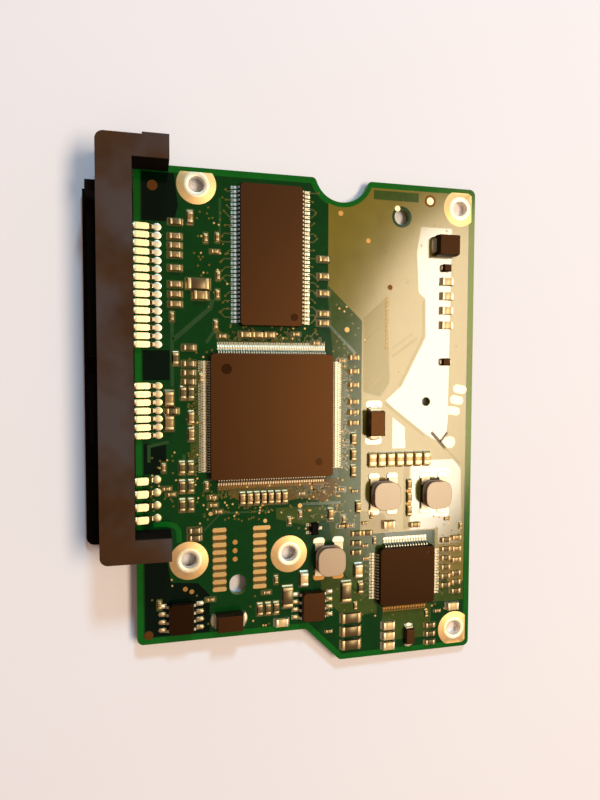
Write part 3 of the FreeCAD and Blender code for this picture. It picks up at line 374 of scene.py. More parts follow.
def islands(node):
    """Boxes of a CAD node's separate solids, in board millimetres."""
    bm = bmesh.new()
    bm.from_mesh(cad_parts[node].data)
    bmesh.ops.remove_doubles(bm, verts=bm.verts, dist=SAME_PLACE)
    bm.transform(TO_BOARD)
    boxes, seen = [], set()
    for start in bm.verts:
        if start in seen:
            continue
        seen.add(start)
        waiting, group = [start], []
        while waiting:
            vert = waiting.pop()
            group.append(vert.co.copy())
            for edge in vert.link_edges:
                other = edge.other_vert(vert)
                if other not in seen:
                    seen.add(other)
                    waiting.append(other)
        low = Vector([min(co[axis] for co in group) for axis in range(3)])
        high = Vector([max(co[axis] for co in group) for axis in range(3)])
        boxes.append((low, high))
    bm.free()
    return boxes


def as_mesh(bm):
    """Small mesh to be stamped many times."""
    mesh = bpy.data.meshes.new("stamp")
    bm.to_mesh(mesh)
    bm.free()
    return mesh


def stamp(bm, mesh, place=Matrix.Identity(4), index=None):
    """Add a copy of a small mesh at its place, with another material if an index is given."""
    old_verts, old_faces = len(bm.verts), len(bm.faces)
    bm.from_mesh(mesh)
    bm.verts.ensure_lookup_table()
    bm.faces.ensure_lookup_table()
    bmesh.ops.transform(bm, matrix=place, verts=bm.verts[old_verts:])
    if index is not None:
        for face in bm.faces[old_faces:]:
            face.material_index = index


def at(x, y, angle=0.0, z=0.0):
    """Place on the board, turned by an angle in degrees."""
    return Matrix.Translation((x, y, z)) @ Matrix.Rotation(math.radians(angle), 4, "Z")


def heading(place):
    """Side of the board that a place faces."""
    return round(place.col[0].x), round(place.col[0].y)


def middle(box):
    """Middle of a box."""
    return (box[0] + box[1]) / 2


def block(low, high, edge):
    """Block between two corners, with rounded edges."""
    bm = bmesh.new()
    bmesh.ops.create_cube(bm, size=1)
    for vert in bm.verts:
        vert.co = Vector([(a + b) / 2 + part * (b - a) for a, b, part in zip(low, high, vert.co)])
    bmesh.ops.bevel(bm, geom=bm.edges, offset=edge, segments=2, profile=0.5, affect="EDGES")
    return bm


def drawn_out(profile, width):
    """Side view in x and z drawn out along y, centred on y = 0."""
    return ringed([[(x, side * width / 2, z) for x, z in profile] for side in (1, -1)])


def eased(points, radius, steps=4):
    """Line with its corners rounded, up to nearly half of the shorter side. Corners that are almost straight stay."""
    points = [Vector(point) for point in points]
    line = [points[0]]
    for before, corner, after in zip(points, points[1:], points[2:]):
        back, ahead = before - corner, after - corner
        if back.normalized().dot(ahead.normalized()) < -0.999:
            line.append(corner)
            continue
        cut = min(radius, back.length * 0.45, ahead.length * 0.45)
        start, end = corner + back.normalized() * cut, corner + ahead.normalized() * cut
        for step in range(steps + 1):
            t = step / steps
            line.append(start * (1 - t) ** 2 + corner * 2 * t * (1 - t) + end * t * t)
    return line + [points[-1]]


def band(points, thickness):
    """Closed outline of a strip of even thickness along a line."""
    left, right = [], []
    for number, point in enumerate(points):
        ahead = points[min(number + 1, len(points) - 1)] - points[max(number - 1, 0)]
        side = Vector((-ahead.y, ahead.x)).normalized() * thickness / 2
        left.append(point + side)
        right.append(point - side)
    return left + right[::-1]


def ribbon(bm, points, width, height):
    """Flat strip laid on the board along a line, with mitred corners."""
    points = [Vector(point[:2]) for point in points]
    rows = []
    for number, point in enumerate(points):
        ahead = (points[min(number + 1, len(points) - 1)] - point).normalized()
        back = (point - points[max(number - 1, 0)]).normalized()
        along = (ahead + back).normalized()
        side = Vector((-along.y, along.x))
        stretch = 1.0
        if 0 < number < len(points) - 1:
            stretch = 1 / max(0.5, abs(side.dot(Vector((-ahead.y, ahead.x)))))
        offset = side * width / 2 * stretch
        corners = [point + offset, point - offset]
        rows.append([bm.verts.new((c.x, c.y, z)) for z in (0, height) for c in corners])
    order = [(0, 1), (1, 3), (3, 2), (2, 0)]
    for first, second in zip(rows, rows[1:]):
        for a, b in order:
            bm.faces.new((first[a], first[b], second[b], second[a]))
    for row in (rows[0], rows[-1]):
        bm.faces.new((row[0], row[1], row[3], row[2]))


def ringed(outlines):
    """Closed form through a stack of outlines with equally many points."""
    bm = bmesh.new()
    rings = [[bm.verts.new(point) for point in outline] for outline in outlines]
    for lower, upper in zip(rings, rings[1:]):
        for number in range(len(lower)):
            after = (number + 1) % len(lower)
            bm.faces.new((lower[number], lower[after], upper[after], upper[number]))
    bm.faces.new(rings[0][::-1])
    bm.faces.new(rings[-1])
    return bm


def turned(profile, steps):
    """Closed side view in radius and z, turned round the z axis."""
    bm = bmesh.new()
    rows = []
    for step in range(steps):
        turn = 2 * math.pi * step / steps
        rows.append([bm.verts.new((r * math.cos(turn), r * math.sin(turn), z)) for r, z in profile])
    for step in range(steps):
        here, there = rows[step], rows[(step + 1) % steps]
        for number in range(len(profile)):
            after = (number + 1) % len(profile)
            bm.faces.new((here[number], there[number], there[after], here[after]))
    return bm


def rounded(half_x, half_y, corner, z, steps=5):
    """Outline of a rectangle with rounded corners."""
    points = []
    for quarter, (side_x, side_y) in enumerate(((1, 1), (-1, 1), (-1, -1), (1, -1))):
        for step in range(steps + 1):
            turn = math.pi / 2 * (quarter + step / steps)
            x = side_x * (half_x - corner) + corner * math.cos(turn)
            y = side_y * (half_y - corner) + corner * math.sin(turn)
            points.append((x, y, z))
    return points


def pad_shape(length, width, corner, height):
    """Flat pad with rounded corners and a softened upper edge."""
    edge = height * 0.6
    return as_mesh(ringed([
        rounded(length / 2, width / 2, corner, 0), rounded(length / 2, width / 2, corner, height - edge),
        rounded(length / 2 - edge, width / 2 - edge, corner - edge, height),
    ]))


def round_pad(radius, height):
    """Flat round pad."""
    return pad_shape(2 * radius, 2 * radius, radius * 0.98, height)


def dome(radius_x, radius_y, height, fullness=0.6):
    """Drop of solder with a flat underside: the fuller it is, the flatter its top."""
    bm = bmesh.new()
    bmesh.ops.create_uvsphere(bm, u_segments=14, v_segments=10, radius=1)
    everything = bm.verts[:] + bm.edges[:] + bm.faces[:]
    bmesh.ops.bisect_plane(bm, geom=everything, plane_co=(0, 0, 0), plane_no=(0, 0, -1), clear_outer=True)
    bmesh.ops.remove_doubles(bm, verts=bm.verts, dist=1e-4)
    bmesh.ops.holes_fill(bm, edges=bm.edges)
    for vert in bm.verts:
        vert.co = (vert.co.x * radius_x, vert.co.y * radius_y, max(vert.co.z, 0.0) ** fullness * height)
    return bm


def plate(loops, height):
    """Flat area with holes, laid on the board: the first loop is its outline."""
    curve = bpy.data.curves.new("area", "CURVE")
    curve.dimensions = "2D"
    curve.fill_mode = "BOTH"
    curve.extrude = height / 2
    for loop in loops:
        spline = curve.splines.new("POLY")
        spline.points.add(len(loop) - 1)
        for point, (x, y) in zip(spline.points, loop):
            point.co = (x, y, 0, 1)
        spline.use_cyclic_u = True
    carrier = bpy.data.objects.new("area", curve)
    bpy.context.scene.collection.objects.link(carrier)
    mesh = bpy.data.meshes.new_from_object(carrier)
    bpy.data.objects.remove(carrier)
    bm = bmesh.new()
    bm.from_mesh(mesh)
    bmesh.ops.remove_doubles(bm, verts=bm.verts, dist=1e-5)
    bmesh.ops.translate(bm, vec=(0, 0, height / 2), verts=bm.verts)
    return bm


def circle(x, y, radius, steps=28):
    """Round loop."""
    turns = [2 * math.pi * step / steps for step in range(steps)]
    return [(x + radius * math.cos(turn), y + radius * math.sin(turn)) for turn in turns]


def notch_arc(gap, top, steps=14):
    """Line round the notch from right to left, a gap away from its edge."""
    radius = NOTCH_RADIUS + gap
    drop = NOTCH_CENTRE[1] - top
    start = -math.asin(drop / radius)
    end = -math.pi - start
    turns = [start + (end - start) * step / steps for step in range(steps + 1)]
    return [(NOTCH_CENTRE[0] + radius * math.cos(t), NOTCH_CENTRE[1] + radius * math.sin(t)) for t in turns]


def lead_shape(points, thickness, width, bend):
    """Formed lead along a line, with round bends."""
    return as_mesh(drawn_out(band(eased(points, bend), thickness), width))


def contact_shape(points, thickness, width):
    """Formed contact: its tail falls away from the housing and narrows at the bend, painted dark brown as shade, then
    to a foot.
    """
    (start, level), (shoulder, _), (heel, foot), end = points
    wall, fall, sag = 0.3, 0.14, 0.03
    neck, taper, neck_share, foot_share = shoulder - 0.5, 0.55, 0.55, 0.6
    slope = [neck, neck + 0.08, neck + 0.16, neck + 0.24, shoulder]
    drop = [(x, level - fall * (x - wall) - sag * (x - neck) ** 2) for x in slope]
    line = [(start, level), (wall, level), *drop, (heel, foot), end]
    shape = drawn_out(band(eased(line, 0.18), thickness), width)
    rims = [edge for edge in shape.edges if abs(edge.verts[0].co.y - edge.verts[1].co.y) < 1e-6]
    bmesh.ops.bevel(shape, geom=rims, offset=0.13, segments=3, profile=0.5, affect="EDGES")
    bmesh.ops.remove_doubles(shape, verts=shape.verts[:], dist=0.002)
    bmesh.ops.dissolve_degenerate(shape, edges=shape.edges[:], dist=0.001)
    for vert in shape.verts:
        past = min(max(vert.co.x - neck, 0.0) / taper, 1.0)
        vert.co.y *= 1 - (1 - neck_share) * past ** 2.5
    # Painted shade: the bend between shoulder and heel takes the dark brown finish.
    for face in shape.faces:
        face.material_index = 1 if shoulder - 0.02 < face.calc_center_median().x < heel + 0.1 else 0
    for vert in shape.verts:
        if vert.co.x > heel - 0.05:
            vert.co.y *= foot_share / neck_share
    return as_mesh(shape)


def fillet_shape(heel, toe, width, spread, rise):
    """Solder under and round a foot: it climbs at the heel and runs out past the toe."""
    low = rise * 0.18
    profile = [
        (heel - 0.28, 0), (toe + spread, 0), (toe + spread, low), (toe + 0.12, rise * 0.45),
        (toe, rise), (toe - 0.05, rise * 0.6), (heel + 0.1, rise * 0.6), (heel - 0.02, rise * 1.5),
        (heel - 0.12, rise), (heel - 0.28, low),
    ]
    return as_mesh(drawn_out(profile, width))


def end_fillet(width, height, spread):
    """Solder that climbs a chip's end from its pad, for an end at x = 0 facing +x."""
    profile = [
        (-0.06, 0), (spread, 0), (spread, 0.03), (spread * 0.55, height * 0.18), (spread * 0.22, height * 0.42),
        (0.015, height * 0.75), (-0.06, height * 0.75),
    ]
    return as_mesh(drawn_out(profile, width))


def side_of(box, body):
    """Places at the inner and outer end of a terminal's box, facing away from its body, and the terminal's width."""
    low, high = box
    centre, half = middle(box), (body[1] - body[0]) / 2
    away = centre - middle(body)
    if abs(away.x) / half.x > abs(away.y) / half.y:
        angle = 0 if away.x > 0 else 180
        inner, outer = (low.x, high.x) if away.x > 0 else (high.x, low.x)
        return at(inner, centre.y, angle), at(outer, centre.y, angle), high.y - low.y
    angle = 90 if away.y > 0 else -90
    inner, outer = (low.y, high.y) if away.y > 0 else (high.y, low.y)
    return at(centre.x, inner, angle), at(centre.x, outer, angle), high.x - low.x


def nearest(box, others):
    """The box whose middle is nearest to a box's own."""
    return min(others, key=lambda other: (middle(other) - middle(box)).length)


def starts(node, body):
    """Where each lead leaves its package, facing outwards."""
    bodies = islands(body)
    return [side_of(box, nearest(box, bodies))[0] for box in islands(node)]


def chip_places(node):
    """Middle of each chip of a CAD node, and the angle that it lies at."""
    ends = [] if node.startswith("small") else islands(node + "_terminals")
    places = []
    for box in islands(node):
        centre = middle(box)
        along = middle(nearest(box, ends)) - centre if ends else box[1] - box[0]
        places.append((centre.x, centre.y, 0 if abs(along.x) > abs(along.y) else 90))
    return places


# Outlines of the copper areas that the mask shows
POWER_AREA = [
    (55.75, 78.9), (55.75, 11.6), (53.2, 11.6), (50.2, 14.6), (50.2, 21.2), (36.5, 21.2), (36.5, 57.0),
    (30.6, 62.6), (30.6, 75.9),
]
# Lines that are laid as strips, with their width, and for the dark gaps the finish that they take
WIDE_TRACKS = [
    (((11.8, 59.8), (11.5, 58.5), (5.8, 53.4)), 0.7),
    (((5.6, 56.6), (5.6, 46.2)), 0.5),
    (((7.3, 35.6), (7.3, 32.0)), 0.5),
    (((12.6, 55.6), (10.8, 53.0)), 0.5),
    (((13.0, 75.5), (13.0, 70.5), (12.2, 69.0)), 0.4),
    (((2.0, 34.5), (2.0, 37.0), (5.0, 37.6)), 0.5),
    (((26.0, 26.8), (33.0, 26.8)), 0.5),
    (((10.4, 23.4), (13.0, 26.0), (21.0, 26.0)), 0.3),
    (((31.0, 56.0), (35.4, 51.6)), 0.5),
]
POWER_GAPS = [
    (((40.6, 43.4), (42.4, 41.9), (48.0, 37.6)), 0.5),
    (((47.5, 60.6), (47.6, 54.6), (43.2, 46.2)), 0.4),
    (((36.8, 57.4), (41.0, 61.1)), 0.25),
    (((41.9, 51.1), (46.4, 54.3)), 0.35),
    (((41.9, 52.5), (45.6, 55.1)), 0.2),
    (((37.4, 45.5), (40.4, 47.9)), 0.3),
    (((36.9, 53.6), (39.6, 56.0)), 0.25),
    (((49.3, 38.2), (51.6, 35.6), (54.9, 32.6)), 0.3),
    (((44.7, 32.4), (44.7, 21.6)), 0.9),
]
DARK_GAPS = [
    (((49.3, 38.2), (51.9, 35.4)), 0.55, 1),
    (((50.95, 36.5), (52.3, 38.1)), 0.4, 1),
    (((38.4, 77.8), (46.4, 77.8)), 1.5, 2),
]
SHINING_AREAS = [
    [
        (46.9, 73.0), (46.2, 69.0), (46.6, 62.0), (47.9, 61.0), (48.0, 54.5), (43.7, 46.2), (40.8, 43.7), (42.6, 42.2),
        (48.2, 37.9), (51.9, 35.8), (52.3, 40.0), (52.6, 73.0),
    ],
    [(45.5, 33.4), (53.4, 33.4), (54.9, 31.8), (55.3, 22.0), (55.0, 18.6), (50.8, 18.6), (50.8, 21.4), (45.5, 21.4)],
    [(42.1, 40.9), (44.3, 39.2), (44.5, 35.6), (42.1, 35.6)],
]
HATCHED_AREAS = [
    [(36.8, 57.3), (41.0, 61.0), (41.3, 52.0), (41.5, 46.8), (39.8, 44.4), (36.8, 45.2)],
    [(36.6, 25.2), (40.8, 24.4), (41.6, 21.3), (36.6, 21.3)],
]
THIN_AREAS = [
    [
        (36.6, 57.1), (30.4, 62.8), (31.6, 50.0), (32.6, 31.0), (30.6, 26.0), (32.0, 17.5), (35.5, 11.8), (41.0, 11.8),
        (41.0, 21.2), (36.6, 21.2),
    ],
    [(49.8, 21.2), (49.8, 8.4), (55.8, 8.4), (55.8, 11.4), (53.3, 11.4), (50.3, 14.5), (50.3, 21.2)],
    [(8.3, 41.6), (11.0, 41.6), (11.0, 35.0), (8.3, 35.0)],
    [(31.9, 17.2), (35.4, 11.6), (39.6, 11.6), (39.6, 7.4), (33.6, 7.4), (30.0, 11.0), (29.4, 15.0)],
    [(22.0, 26.4), (30.4, 26.4), (30.3, 24.0), (26.5, 23.4), (22.0, 24.6)],
    [(40.6, 8.2), (49.6, 8.2), (49.6, 2.4), (40.6, 2.4)],
]
CLOSE_TRACKS = [
    [(14.4, 30.9), (14.4, 28.8), (16.5, 27.6), (21.0, 27.0), (26.4, 27.9), (30.0, 27.1), (32.4, 28.2), (32.6, 30.9)],
    [(11.75, 13.4), (13.85, 13.4), (13.85, 23.6), (11.75, 23.6)],
    [(18.25, 13.4), (20.35, 13.4), (20.35, 23.6), (18.25, 23.6)],
]
BARE_ARC_WIDTH = 0.8
BARE_ARC = [(2.6, 24.75), (4.6, 24.75), (5.9, 24.4), (6.45, 23.5), (6.5, 21.7)]
SOLID_AREAS = [
    [(1.2, 71.4), (6.0, 71.4), (6.6, 74.0), (6.0, 78.7), (1.2, 78.7)],
    [(1.2, 47.2), (5.2, 47.2), (5.2, 51.8), (1.2, 51.8)],
    [(1.2, 32.6), (4.6, 32.6), (4.6, 37.4), (1.2, 37.4)],
    [(1.2, 7.0), (11.2, 7.0), (11.2, 13.0), (9.4, 15.0), (5.2, 15.4), (4.4, 20.4), (1.2, 20.4)],
]
# Round dots, with their radius
GOLD_DOTS = [(33.9, 55.5, 0.45), (20.2, 24.4, 0.35), (11.4, 26.0, 0.35), (26.0, 26.6, 0.4)]
TINNED_DOTS = [(48.5, 77.4, 0.65), (42.6, 75.8, 0.5)]
COPPER_DOTS = [(2.8, 76.7, 0.8), (1.75, 7.3, 0.72), (48.5, 77.4, 1.0), (41.4, 62.7, 0.45)]
STAINED_DOTS = [
    (15.3, 18.45, 0.42), (15.3, 19.83, 0.42), (15.3, 21.21, 0.42), (7.4, 14.2, 0.4), (8.4, 13.7, 0.4),
    (32.7, 74.4, 0.45), (37.5, 70.2, 0.42),
]
# Tinned pads, with their length and width
TINNED_PADS = [(49.75, 31.2, 6.0, 1.5), (49.9, 24.4, 5.8, 1.9), (38.75, 43.1, 2.9, 1.3), (38.7, 37.0, 3.0, 1.3)]
HEAD_PAD_FIELD = (11.2, 21.6, 12.8, 24.2)
# Fields of through holes: left, right, low, high and how many
VIA_FIELDS = [
    (13.0, 33.0, 24.6, 30.2, 150), (8.6, 12.2, 24.5, 52.0, 90), (25.5, 36.0, 22.5, 31.0, 50),
    (2.2, 6.2, 26.6, 36.5, 24), (9.0, 14.8, 58.0, 76.0, 44), (31.5, 36.2, 31.0, 60.0, 60),
    (14.5, 30.0, 53.2, 56.0, 26), (2.0, 12.0, 8.0, 16.0, 10), (33.0, 52.0, 5.8, 9.4, 20),
    (17.5, 36.0, 7.0, 16.0, 30), (49.6, 55.0, 6.0, 24.0, 26), (37.0, 55.0, 46.0, 76.0, 12),
]
# Row of large bare through holes: x, lowest y, spacing and how many
VIA_ROW = (40.9, 52.6, 0.68, 13)
# Mould marks, with the package top's height and their radius
MOULD_MARKS = [(13.8, 48.95, 1.4, 0.79), (28.8, 33.95, 1.5, 0.6), (24.68, 57.24, 1.0, 0.59), (48.4, 17.7, 1.4, 0.44)]
# Chips too small for the CAD model, with the angle that they lie at
TINY_CHIPS = [
    (10.8, 69.2, 90), (12.6, 69.4, 90), (12.2, 67.2, 0), (12.7, 63.5, 90), (12.6, 60.6, 90), (12.3, 55.9, 90),
    (13.3, 54.1, 0), (25.2, 54.6, 0), (6.0, 50.9, 90), (10.8, 30.5, 90), (11.7, 28.6, 0), (11.8, 27.4, 0),
    (12.6, 26.3, 0), (4.2, 33.6, 90), (4.6, 30.3, 0), (5.3, 29.4, 0), (24.2, 24.2, 90), (26.0, 25.2, 90),
    (33.1, 22.8, 0), (34.6, 22.8, 0), (31.0, 5.1, 0), (35.7, 9.0, 90), (50.8, 6.8, 0), (48.7, 6.5, 90),
    (11.3, 12.2, 0), (22.0, 14.6, 90), (20.4, 12.6, 0), (26.2, 28.6, 0), (33.0, 29.0, 0), (35.4, 28.6, 0),
    (25.4, 57.0, 90), (28.6, 53.2, 0), (33.0, 50.4, 0), (5.6, 57.0, 90), (10.0, 47.6, 90), (3.4, 12.0, 90),
    (37.4, 17.0, 0), (37.3, 23.1, 0), (39.0, 20.0, 90), (37.3, 19.2, 0), (33.5, 23.9, 90), (38.4, 24.4, 90),
    (52.5, 23.0, 0), (55.0, 21.6, 90),
]


def is_clear(x, y):
    """Whether a through hole has room: away from the screw pads, the holes, the dots and the head pads."""
    screw_pad, room = 3.4, 0.5
    spots = [(*hole, screw_pad) for hole in SCREW_HOLES]
    spots += [(a, b, radius + room) for a, b, radius in PLAIN_HOLES + GOLD_DOTS + COPPER_DOTS + STAINED_DOTS]
    left, right, low, high = HEAD_PAD_FIELD
    is_on_head_pads = left < x < right and low < y < high
    return not is_on_head_pads and all(math.hypot(x - a, y - b) >= radius for a, b, radius in spots)


class BOARD_OT_copper(bpy.types.Operator):
    """Lay the copper areas under the solder mask and finish the board itself"""
    bl_idname = "board.copper"
    bl_label = "Board and copper areas"

    def execute(self, context):
        dress("circuit_board", "laminate")
        gap = context.scene.board_sizes.copper_inset / MM
        slant = gap * (math.sqrt(2) - 1)
        top = BOARD_LENGTH - gap
        outline = [
            (gap, STEP_HEIGHT + gap), (STEP_START + slant, STEP_HEIGHT + gap), (STEP_START + STEP_HEIGHT + slant, gap),
            (BOARD_WIDTH - gap, gap), (BOARD_WIDTH - gap, top), *notch_arc(gap, top), (gap, top),
        ]
        plated_gap, plain_gap, notch_gap = 0.02, 0.04, 0.8
        screws = [circle(x, y, SCREW_HOLE_RADIUS + plated_gap, 48) for x, y in SCREW_HOLES]
        upper_right, right, lower_end, upper_end, peg = [circle(x, y, r + plain_gap) for x, y, r in PLAIN_HOLES]
        half = len(upper_end) // 2
        oval = upper_end[:half + 1] + lower_end[half:] + lower_end[:1]
        loops = [outline, *screws, upper_right, right, peg, oval]
        piece("ground_copper", plate(loops, HEIGHTS["ground"]), ["ground"], "board_mask")
        (_, power_top), (power_left, _) = POWER_AREA[0], POWER_AREA[-1]
        power = POWER_AREA + [point for point in notch_arc(notch_gap, power_top)[::-1] if point[0] > power_left]
        wide_hole, small_hole = circle(*PLAIN_HOLES[0][:2], 1.75), circle(*PLAIN_HOLES[1][:2], 0.8)
        loops = [power, wide_hole, small_hole, screws[1]]
        piece("power_copper", plate(loops, HEIGHTS["pour"]), ["pour"], "board_mask")
        for name, areas, key in (
            ("smooth_copper", SHINING_AREAS, "shine"), ("hatched_copper", HATCHED_AREAS, "hatch"),
            ("solid_copper", SOLID_AREAS, "deep"), ("thin_copper", THIN_AREAS, "thin"),
            ("close_tracks", CLOSE_TRACKS, "fan"),
        ):
            bm = bmesh.new()
            for area in areas:
                loops = [area, small_hole] if area is SHINING_AREAS[0] else [area]
                stamp(bm, as_mesh(plate(loops, HEIGHTS[key])))
            piece(name, bm, [key], "board_mask")
        return {"FINISHED"}


class BOARD_OT_tracks(bpy.types.Operator):
    """Draw the tracks, the gaps between copper areas and the plated through holes"""
    bl_idname = "board.tracks"
    bl_label = "Tracks and through holes"

    def execute(self, context):
        sizes = context.scene.board_sizes
        width, radius = sizes.trace_width / MM, sizes.via_radius / MM
        tracks, broad, gaps, vias, arc, via = [bmesh.new() for _ in range(6)]
        for points, wide in WIDE_TRACKS:
            ribbon(broad, points, wide, HEIGHTS["broad"])
        for points, wide in POWER_GAPS:
            ribbon(gaps, points, wide, HEIGHTS["gap"])
        for points, wide, tone in DARK_GAPS:
            dark = bmesh.new()
            ribbon(dark, points, wide, HEIGHTS["dark gap"])
            stamp(gaps, as_mesh(dark), index=tone)
        ribbon(arc, BARE_ARC, BARE_ARC_WIDTH, HEIGHTS["arc"])
        bmesh.ops.create_cone(
            via, cap_ends=True, segments=12, radius1=radius, radius2=radius * 0.8, depth=HEIGHTS["via"],
            matrix=Matrix.Translation((0, 0, HEIGHTS["via"] / 2)),
        )
        via = as_mesh(via)
        draw = random.Random(7)
        margin, lower_margin, lead_in, sideways = 1.5, 7.5, 0.3, 0.9
        for body, toe, every, reach in (
            ("main_controller", 1.0, 1, (0.4, 1.8)), ("memory_chip", 0.8, 2, (0.4, 1.6)),
            ("motor_driver", 1.0, 2, (0.4, 1.2)),
        ):
            for number, place in enumerate(starts(body + "_leads", body)):
                run, side = draw.uniform(*reach), draw.uniform(-sideways, sideways)
                if number % every or (body == "motor_driver" and heading(place) == UP):
                    continue
                turn = toe + lead_in + run
                line = [place @ Vector(point) for point in ((toe, 0, 0), (turn, 0, 0), (turn + abs(side), side, 0))]
                x, y = line[-1].xy
                if margin < x < BOARD_WIDTH - margin and lower_margin < y < BOARD_LENGTH - margin:
                    ribbon(tracks, line, width, HEIGHTS["trace"])
                    stamp(vias, via, at(x, y))
        # Every fourth through hole is bare gold, and the mask covers the others.
        for left, right, low, high, count in VIA_FIELDS:
            for number in range(count):
                x, y = draw.uniform(left, right), draw.uniform(low, high)
                if is_clear(x, y):
                    stamp(vias, via, at(x, y), 1 if number % 4 == 0 else 0)
        x, lowest, spacing, count = VIA_ROW
        for number in range(count):
            stamp(vias, via, at(x, lowest + number * spacing) @ Matrix.Diagonal((1.7, 1.5, 1, 1)), 1)
        piece("tracks", tracks, ["trace"], "board_mask")
        piece("broad_tracks", broad, ["broad"], "board_mask")
        piece("copper_gaps", gaps, ["gap", "fan", "thin"], "board_mask")
        piece("through_holes", vias, ["gap", "gold"], "board_mask")
        piece("bare_arc", arc, ["laminate"], "board_mask")
        return {"FINISHED"}


class BOARD_OT_pads(bpy.types.Operator):
    """Plate the screw holes, contact pads and round dots"""
    bl_idname = "board.pads"
    bl_label = "Plated pads"

    def execute(self, context):
        bore, depth, margin, solder_radius = SCREW_HOLE_RADIUS, -BOARD_THICKNESS, 0.7, 2.0
        profile = [
            (3.05, 0), (3.05, 0.035), (3.0, 0.05), (2.05, 0.05), (1.97, 0.075), (1.7, 0.09), (1.36, 0.085),
            (bore - 0.01, 0.05), (bore - 0.03, depth), (bore, depth), (bore, 0),
        ]
        rings, dots, bars, tinned = [bmesh.new() for _ in range(4)]
        for x, y in SCREW_HOLES:
            ring = turned(profile, 48)
            for face in ring.faces:
                centre = face.calc_center_median()
                face.material_index = 2 if centre.z < 0 else 1 if centre.xy.length < solder_radius else 0
            bmesh.ops.translate(ring, vec=(x, y, 0), verts=ring.verts)
            for limit, normal in (
                ((BOARD_WIDTH - margin, 0, 0), (1, 0, 0)), ((0, BOARD_LENGTH - margin, 0), (0, 1, 0)),
                ((0, margin, 0), (0, -1, 0)),
            ):
                everything = ring.verts[:] + ring.edges[:] + ring.faces[:]
                bmesh.ops.bisect_plane(ring, geom=everything, plane_co=limit, plane_no=normal, clear_outer=True)
            bmesh.ops.holes_fill(ring, edges=ring.edges)
            stamp(rings, as_mesh(ring))
        piece("plated_screw_holes", rings, ["ring", "solder", "bore"], "pad_plating", "screw_pads")
        for index, places, height in (
            (0, GOLD_DOTS, 0.06), (1, COPPER_DOTS, 0.05), (2, TINNED_DOTS, 0.06), (3, STAINED_DOTS, 0.05),
        ):
            for x, y, radius in places:
                stamp(dots, round_pad(radius, height), at(x, y), index)
        piece("round_dots", dots, ["gold", "copper", "contact", "flux"], "pad_plating")
        boxes = islands("head_contact_pads")
        # The uppermost pad on the right is longer than the others.
        last = max(boxes, key=lambda box: box[0].x + box[0].y)
        for low, high in boxes:
            longer = 0.65 if low is last[0] else 0.0
            shape = pad_shape(high.x - low.x + longer, high.y - low.y - 0.05, corner=0.32, height=0.09)
            stamp(bars, shape, at((low.x + high.x + longer) / 2, (low.y + high.y) / 2))
        piece("head_pad_bars", bars, ["gold"], "pad_plating", "head_contact_pads")
        for x, y, length, width in TINNED_PADS:
            stamp(tinned, pad_shape(length, width, corner=0.6, height=0.05), at(x, y))
        piece("tinned_pads", tinned, ["solder"], "pad_plating")
        dress("motor_contact_pads", "contact")
        return {"FINISHED"}


class BOARD_OT_connector(bpy.types.Operator):
    """Finish the plug connector with its formed contacts, pins and solder"""
    bl_idname = "board.connector"
    bl_label = "Plug connector"

    def execute(self, context):
        dress("connector_housing", "housing", context.scene.board_sizes.moulding_edge)
        solder = bmesh.new()
        foot, thickest = 0.1, 0.3
        # The last column is the solder's drop: its two radii, its height and how full it is.
        for node, thickness, shoulder, heel, reach, width, drop in (
            ("power_contacts", 0.3, 2.3, 2.6, 3.5, 0.96, (0.68, 0.6, 0.26, 0.22)),
            ("signal_contacts", 0.3, 2.3, 2.6, 3.5, 0.96, (0.68, 0.6, 0.26, 0.22)),
            ("jumper_pins", 0.64, 1.95, 2.3, 3.2, 1.15, (0.7, 0.7, 0.34, 0.4)),
        ):
            drop = as_mesh(dome(*drop))
            formed = bmesh.new()
            for box in islands(node):
                y, level = middle(box).y, box[1].z - thickness / 2
                line = [(box[0].x, level), (shoulder, level), (heel, foot), (reach, foot)]
                stamp(formed, contact_shape(line, min(thickness, thickest), width), at(0, y))
                stamp(solder, drop, at(reach - 0.05, y), 0 if node == "power_contacts" else 1)
            piece("formed_" + node, formed, ["contact", "bend"], "contact_plating", node)
        piece("connector_solder", solder, ["solder", "contact"], "tinned_lead")
        return {"FINISHED"}


